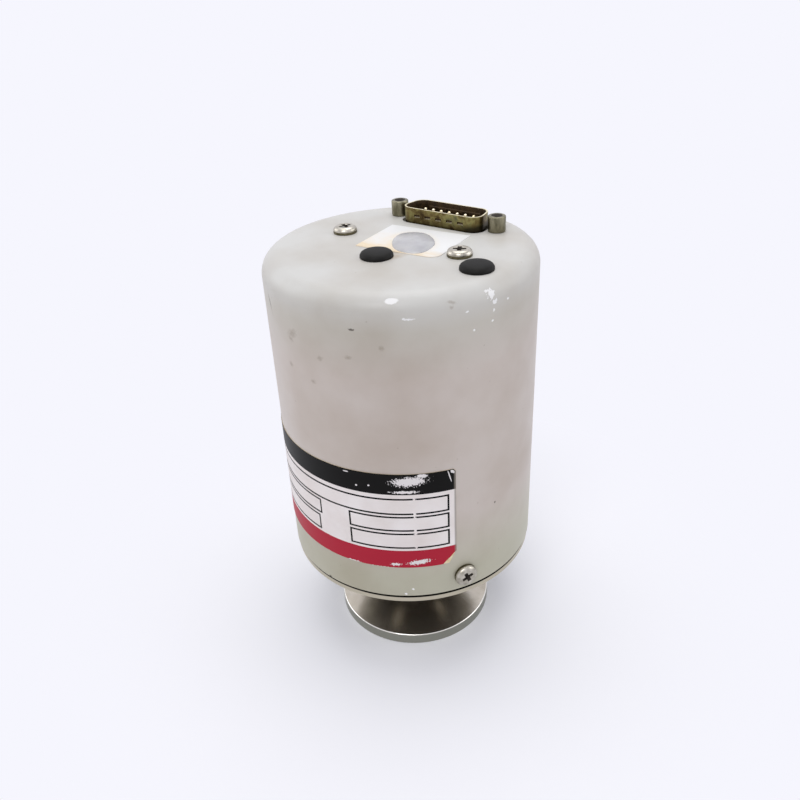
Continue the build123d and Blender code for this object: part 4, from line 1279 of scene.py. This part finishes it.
def makePlugs():
    first = roundBar("plugPattern", plug["head"], 0, plug["rim"], sides=64)
    bpy.ops.object.mode_set(mode="EDIT")
    pivot = (0, 0, 0)
    pick(first, "FACE", lambda p, n: n.z > 0.9)
    radius, height = plug["head"], plug["rim"]
    for nextRadius, nextHeight in plug["dome"]:
        extrudeUp(nextHeight - height)
        bpy.ops.transform.resize(value=(nextRadius / radius, nextRadius / radius, 1), center_override=pivot)
        radius, height = nextRadius, nextHeight
    pick(first, "FACE", lambda p, n: n.z < -0.9)
    bpy.ops.mesh.inset(thickness=(plug["head"] - plug["neck"]) * mm)
    extrudeUp(-plug["barbTop"])
    bpy.ops.mesh.inset(thickness=(plug["neck"] - plug["barb"]) * mm)
    extrudeUp(plug["barbTop"] - plug["tail"])
    bpy.ops.transform.resize(value=(plug["tailTaper"], plug["tailTaper"], 1), center_override=pivot)
    bpy.ops.object.mode_set(mode="OBJECT")
    softenEdges(first, plug["edgeSoft"], 50)
    for (x, y), name in zip(can["plugPlaces"], ("zero", "span")):
        piece = copyPiece(first, name + "Plug", x, y, can["top"])
        dress(piece, "rubber", "black_rubber", name + "_plug", smooth=40)
    bpy.data.objects.remove(first)


makePlugs()


# Side label: yellowed paper under printed film, both torn at the lower right corner
# the tears are straight cuts given by angle, height and the direction of what comes off
tears = {
    "film": ((-37.9, 47.2, -45), (-35.7, 77.2, 45)),
    "paper": ((-36.75, 47.0, -27), (-35.6, 77.2, 45)),
    # a cut acts only right of this angle and this near to its height
    "rightOf": -45,
    "near": 9,
}


def makeLabelLayer(name, inner, thick, cuts, finish):
    clearSelection()
    height = label["top"] - label["bottom"]
    bpy.ops.mesh.primitive_cylinder_add(
        vertices=360, radius=(inner + thick) * mm, depth=height * mm, end_fill_type="NOTHING",
        location=(0, 0, (label["bottom"] + height / 2) * mm))
    piece = takeNew(name)
    bpy.ops.object.mode_set(mode="EDIT")

    def outside(p, n):
        turn = math.degrees(math.atan2(p.y, p.x))
        return not label["start"] < turn < label["end"]
    pick(piece, "FACE", outside)
    bpy.ops.mesh.delete(type="FACE")
    for i in range(1, label["rows"]):
        level = label["bottom"] + height * i / label["rows"]
        bpy.ops.mesh.select_all(action="SELECT")
        bpy.ops.mesh.bisect(plane_co=(0, 0, level * mm), plane_no=(0, 0, 1))
    for angle, level, lean in cuts:
        turn = math.radians(angle)
        point = Vector((math.cos(turn), math.sin(turn), 0)) * paint["radius"] * mm
        point.z = level * mm
        along = Vector((-math.sin(turn), math.cos(turn), 0))
        away = along * math.cos(math.radians(lean)) + Vector((0, 0, 1)) * math.sin(math.radians(lean))
        pick(piece, "FACE", lambda p, n: math.degrees(math.atan2(p.y, p.x)) > tears["rightOf"]
             and abs(p.z - level) < tears["near"])
        bpy.ops.mesh.bisect(plane_co=point, plane_no=away, clear_outer=True)
    bpy.ops.object.mode_set(mode="OBJECT")
    applyModifier(piece, "SOLIDIFY", thickness=thick * mm, offset=-1)
    dress(piece, finish, "label_film", "side_label", smooth=30)


makeLabelLayer("labelPaper", label["radius"], label["paperThick"], tears["paper"], "labelPaper")
makeLabelLayer("labelFilm", label["radius"] + label["paperThick"] + label["glueGap"], label["filmThick"],
               tears["film"], "film")
print("plugs and label made")


# Sticker and the gum over it
def makeSticker():
    clearSelection()
    x, y = sticker["place"]
    bpy.ops.mesh.primitive_plane_add(size=1)
    bpy.context.object.scale = (sticker["length"] * mm, sticker["width"] * mm, 1)
    piece = takeNew("topSticker")
    bpy.ops.object.mode_set(mode="EDIT")
    pick(piece, "VERT", lambda p: p.x > 0 and p.y < 0)
    bpy.ops.mesh.bevel(offset=sticker["corner"] * mm, segments=sticker["cornerSteps"], affect="VERTICES")
    bpy.ops.mesh.select_all(action="SELECT")
    extrudeUp(sticker["thick"])
    faceOutwards()
    bpy.ops.object.mode_set(mode="OBJECT")
    softenEdges(piece, sticker["edgeSoft"], 50)
    turn = Matrix.Rotation(math.radians(sticker["turn"]), 4, "Z")
    piece.data.transform(Matrix.Translation((x * mm, y * mm, can["top"] * mm)) @ turn)
    dress(piece, "stickerPaper", "sticker_paper", "top_sticker")


def makeGumDrop():
    clearSelection()
    x, y = gum["place"]
    foot = can["top"] + sticker["thick"]
    bpy.ops.mesh.primitive_uv_sphere_add(segments=64, ring_count=48, radius=1 * mm)
    piece = takeNew("gumDrop")
    bpy.ops.object.mode_set(mode="EDIT")
    bpy.ops.mesh.select_all(action="SELECT")
    bpy.ops.transform.resize(value=(gum["longHalf"], gum["shortHalf"], gum["height"]), center_override=(0, 0, 0))
    bpy.ops.mesh.bisect(plane_co=(0, 0, 0), plane_no=(0, 0, 1), clear_inner=True, use_fill=True)
    pick(piece, "VERT", lambda p: p.z > 0.05)
    bpy.ops.transform.vertex_random(offset=gum["lumps"] * mm, uniform=0.0, normal=0.9, seed=4)
    bpy.ops.object.mode_set(mode="OBJECT")
    activate(piece)
    bpy.ops.object.mode_set(mode="EDIT")
    for bearing, pull in gum["pulls"]:
        turn = math.radians(bearing)
        ahead = Vector((math.cos(turn), math.sin(turn), 0))
        bpy.ops.mesh.select_mode(type="VERT")
        pick(piece, "VERT", lambda p: abs(math.degrees(p.to_2d().angle_signed(ahead.to_2d(), 9))) < 3
             and p.z < 0.01 and p.length > 4)
        bpy.ops.transform.translate(value=ahead * pull * mm, use_proportional_edit=True,
                                    proportional_size=gum["pullWide"] * mm, proportional_edit_falloff="SMOOTH")
    bpy.ops.object.mode_set(mode="OBJECT")
    lay = Matrix.Rotation(math.radians(gum["turn"]), 4, "Z")
    piece.data.transform(Matrix.Translation((x * mm, y * mm, foot * mm)) @ lay)
    dress(piece, "gum", "clear_seal", "top_seal", smooth=60)


makeSticker()
makeGumDrop()
print("sticker and seal made")


# CAD nodes that stay, each with its own finish
kept = {
    "flangeSteel": ("vacuum_flange",),
    "baseMetal": ("base_plate",),
    "stainless": ("neck_tube", "sensor_body", "sensor_housing", "sensor_lid", "inlet_baffle",
                  "getter_housing"),
    "spring": ("diaphragm", "spring_washer", "retaining_ring"),
    "aluminium": ("chassis_plate",),
    "brass": ("base_posts", "lower_columns", "upper_columns", "cover_columns", "jack_nuts"),
    "screw": ("sensor_screws", "chassis_screws", "board_screws"),
    "shadedRim": ("base_screws",),
    "chromate": ("connector_back",),
    "resin": ("connector_insulator",),
    "ceramic": ("electrode_disc",),
    "silverInk": ("electrode_film",),
    "glass": ("feedthrough_glass",),
    "pinAlloy": ("feedthrough_pins",),
    "copper": ("pinch_tube",),
    "getter": ("getter_pellet",),
    "sleeve": ("sensor_leads", "ribbon_lead"),
    "board": ("lower_board", "upper_board"),
    "epoxy": ("lower_chips", "upper_chips", "regulators", "ribbon_header", "board_link"),
    "ferrite": ("transformer_core",),
    "winding": ("transformer_coil",),
    "lacquer": ("film_capacitors", "resistors"),
    "shrink": ("can_capacitors",),
    "blueMoulding": ("zero_trimmer", "span_trimmer"),
    "whiteMoulding": ("zero_adjuster", "span_adjuster"),
}
for finish, names in kept.items():
    for name in names:
        for place in nodes[name].material_slots:
            place.material = finishes[finish]
print("CAD nodes dressed")


# Floor and light: a pale sweep, a broad soft box above and behind, one high in front, softer ones at both sides
studio = {
    "floor": "#f7f7fa",
    "floorSize": 40,
    "background": "#f6f6fe",
    "ambientColour": "#f2f3ff",
    "ambient": 0.34,
    # the floor keeps its shadow near the gauge and clears to the background further out
    "clearFrom": 25,
    "clearTo": 125,
    "clearLeast": 0.15,
    "aim": 70,
    # name, place in metres, size in metres, watts
    "lamps": (
        ("overheadBox", (-0.10, 0.20, 0.90), 0.8, 3.45),
        ("frontBox", (0.22, -0.67, 0.78), 0.5, 3.2),
        ("leftBox", (-0.75, -0.25, 0.45), 0.6, 1.5),
        ("rightBox", (0.70, 0.45, 0.45), 0.6, 1.8),
    ),
}


# The rays that show the pale background: the camera's own and those that metal and gum send on
def addSeenRays(tree):
    rays = addNode(tree, "LightPath")
    seen = 0.0
    for kind in ("Camera", "Glossy", "Transmission"):
        seen = addNode(tree, "Math", {0: seen, 1: rays.outputs["Is " + kind + " Ray"]}, operation="MAXIMUM").outputs[0]
    return seen


def makeStudio():
    clearSelection()
    bpy.ops.mesh.primitive_plane_add(size=studio["floorSize"])
    floor = takeNew("floor")
    material, tree, shader, place = startMaterial("seamlessPaper", Roughness=0.9)
    shader.inputs["Base Color"].default_value = hexColour(studio["floor"])
    seen = addSeenRays(tree)
    away = addNode(tree, "VectorMath", {0: place}, operation="LENGTH").outputs["Value"]
    clear = addNode(tree, "MapRange", {"Value": away, "From Min": studio["clearFrom"] * mm,
                                       "From Max": studio["clearTo"] * mm,
                                       "To Min": studio["clearLeast"]}).outputs[0]
    share = addNode(tree, "Math", {0: seen, 1: clear}, operation="MULTIPLY").outputs[0]
    glow = addNode(tree, "Emission", {"Color": hexColour(studio["background"]), "Strength": 1.0}).outputs[0]
    mixed = addNode(tree, "MixShader", {0: share, 1: shader.outputs[0], 2: glow}).outputs[0]
    tree.links.new(mixed, tree.nodes["Material Output"].inputs["Surface"])
    floor.data.materials.append(material)

    world = bpy.data.worlds.new("studioWorld")
    world.use_nodes = True
    bpy.context.scene.world = world
    tree = world.node_tree
    tree.nodes.clear()
    seen = addSeenRays(tree)
    light = addNode(tree, "Background", {"Color": hexColour(studio["ambientColour"]),
                                         "Strength": studio["ambient"]}).outputs[0]
    shown = addNode(tree, "Background", {"Color": hexColour(studio["background"]), "Strength": 1.0}).outputs[0]
    mixed = addNode(tree, "MixShader", {0: seen, 1: light, 2: shown}).outputs[0]
    output = addNode(tree, "OutputWorld")
    tree.links.new(mixed, output.inputs["Surface"])

    for name, place, size, watts in studio["lamps"]:
        bpy.ops.object.light_add(type="AREA", location=place)
        lamp = bpy.context.object
        lamp.name = name
        lamp.data.shape = "DISK"
        lamp.data.size = size
        lamp.data.energy = watts
        aim = Vector((0, 0, studio["aim"] * mm)) - Vector(place)
        lamp.rotation_euler = aim.to_track_quat("-Z", "Y").to_euler()


makeStudio()
print("studio lit")
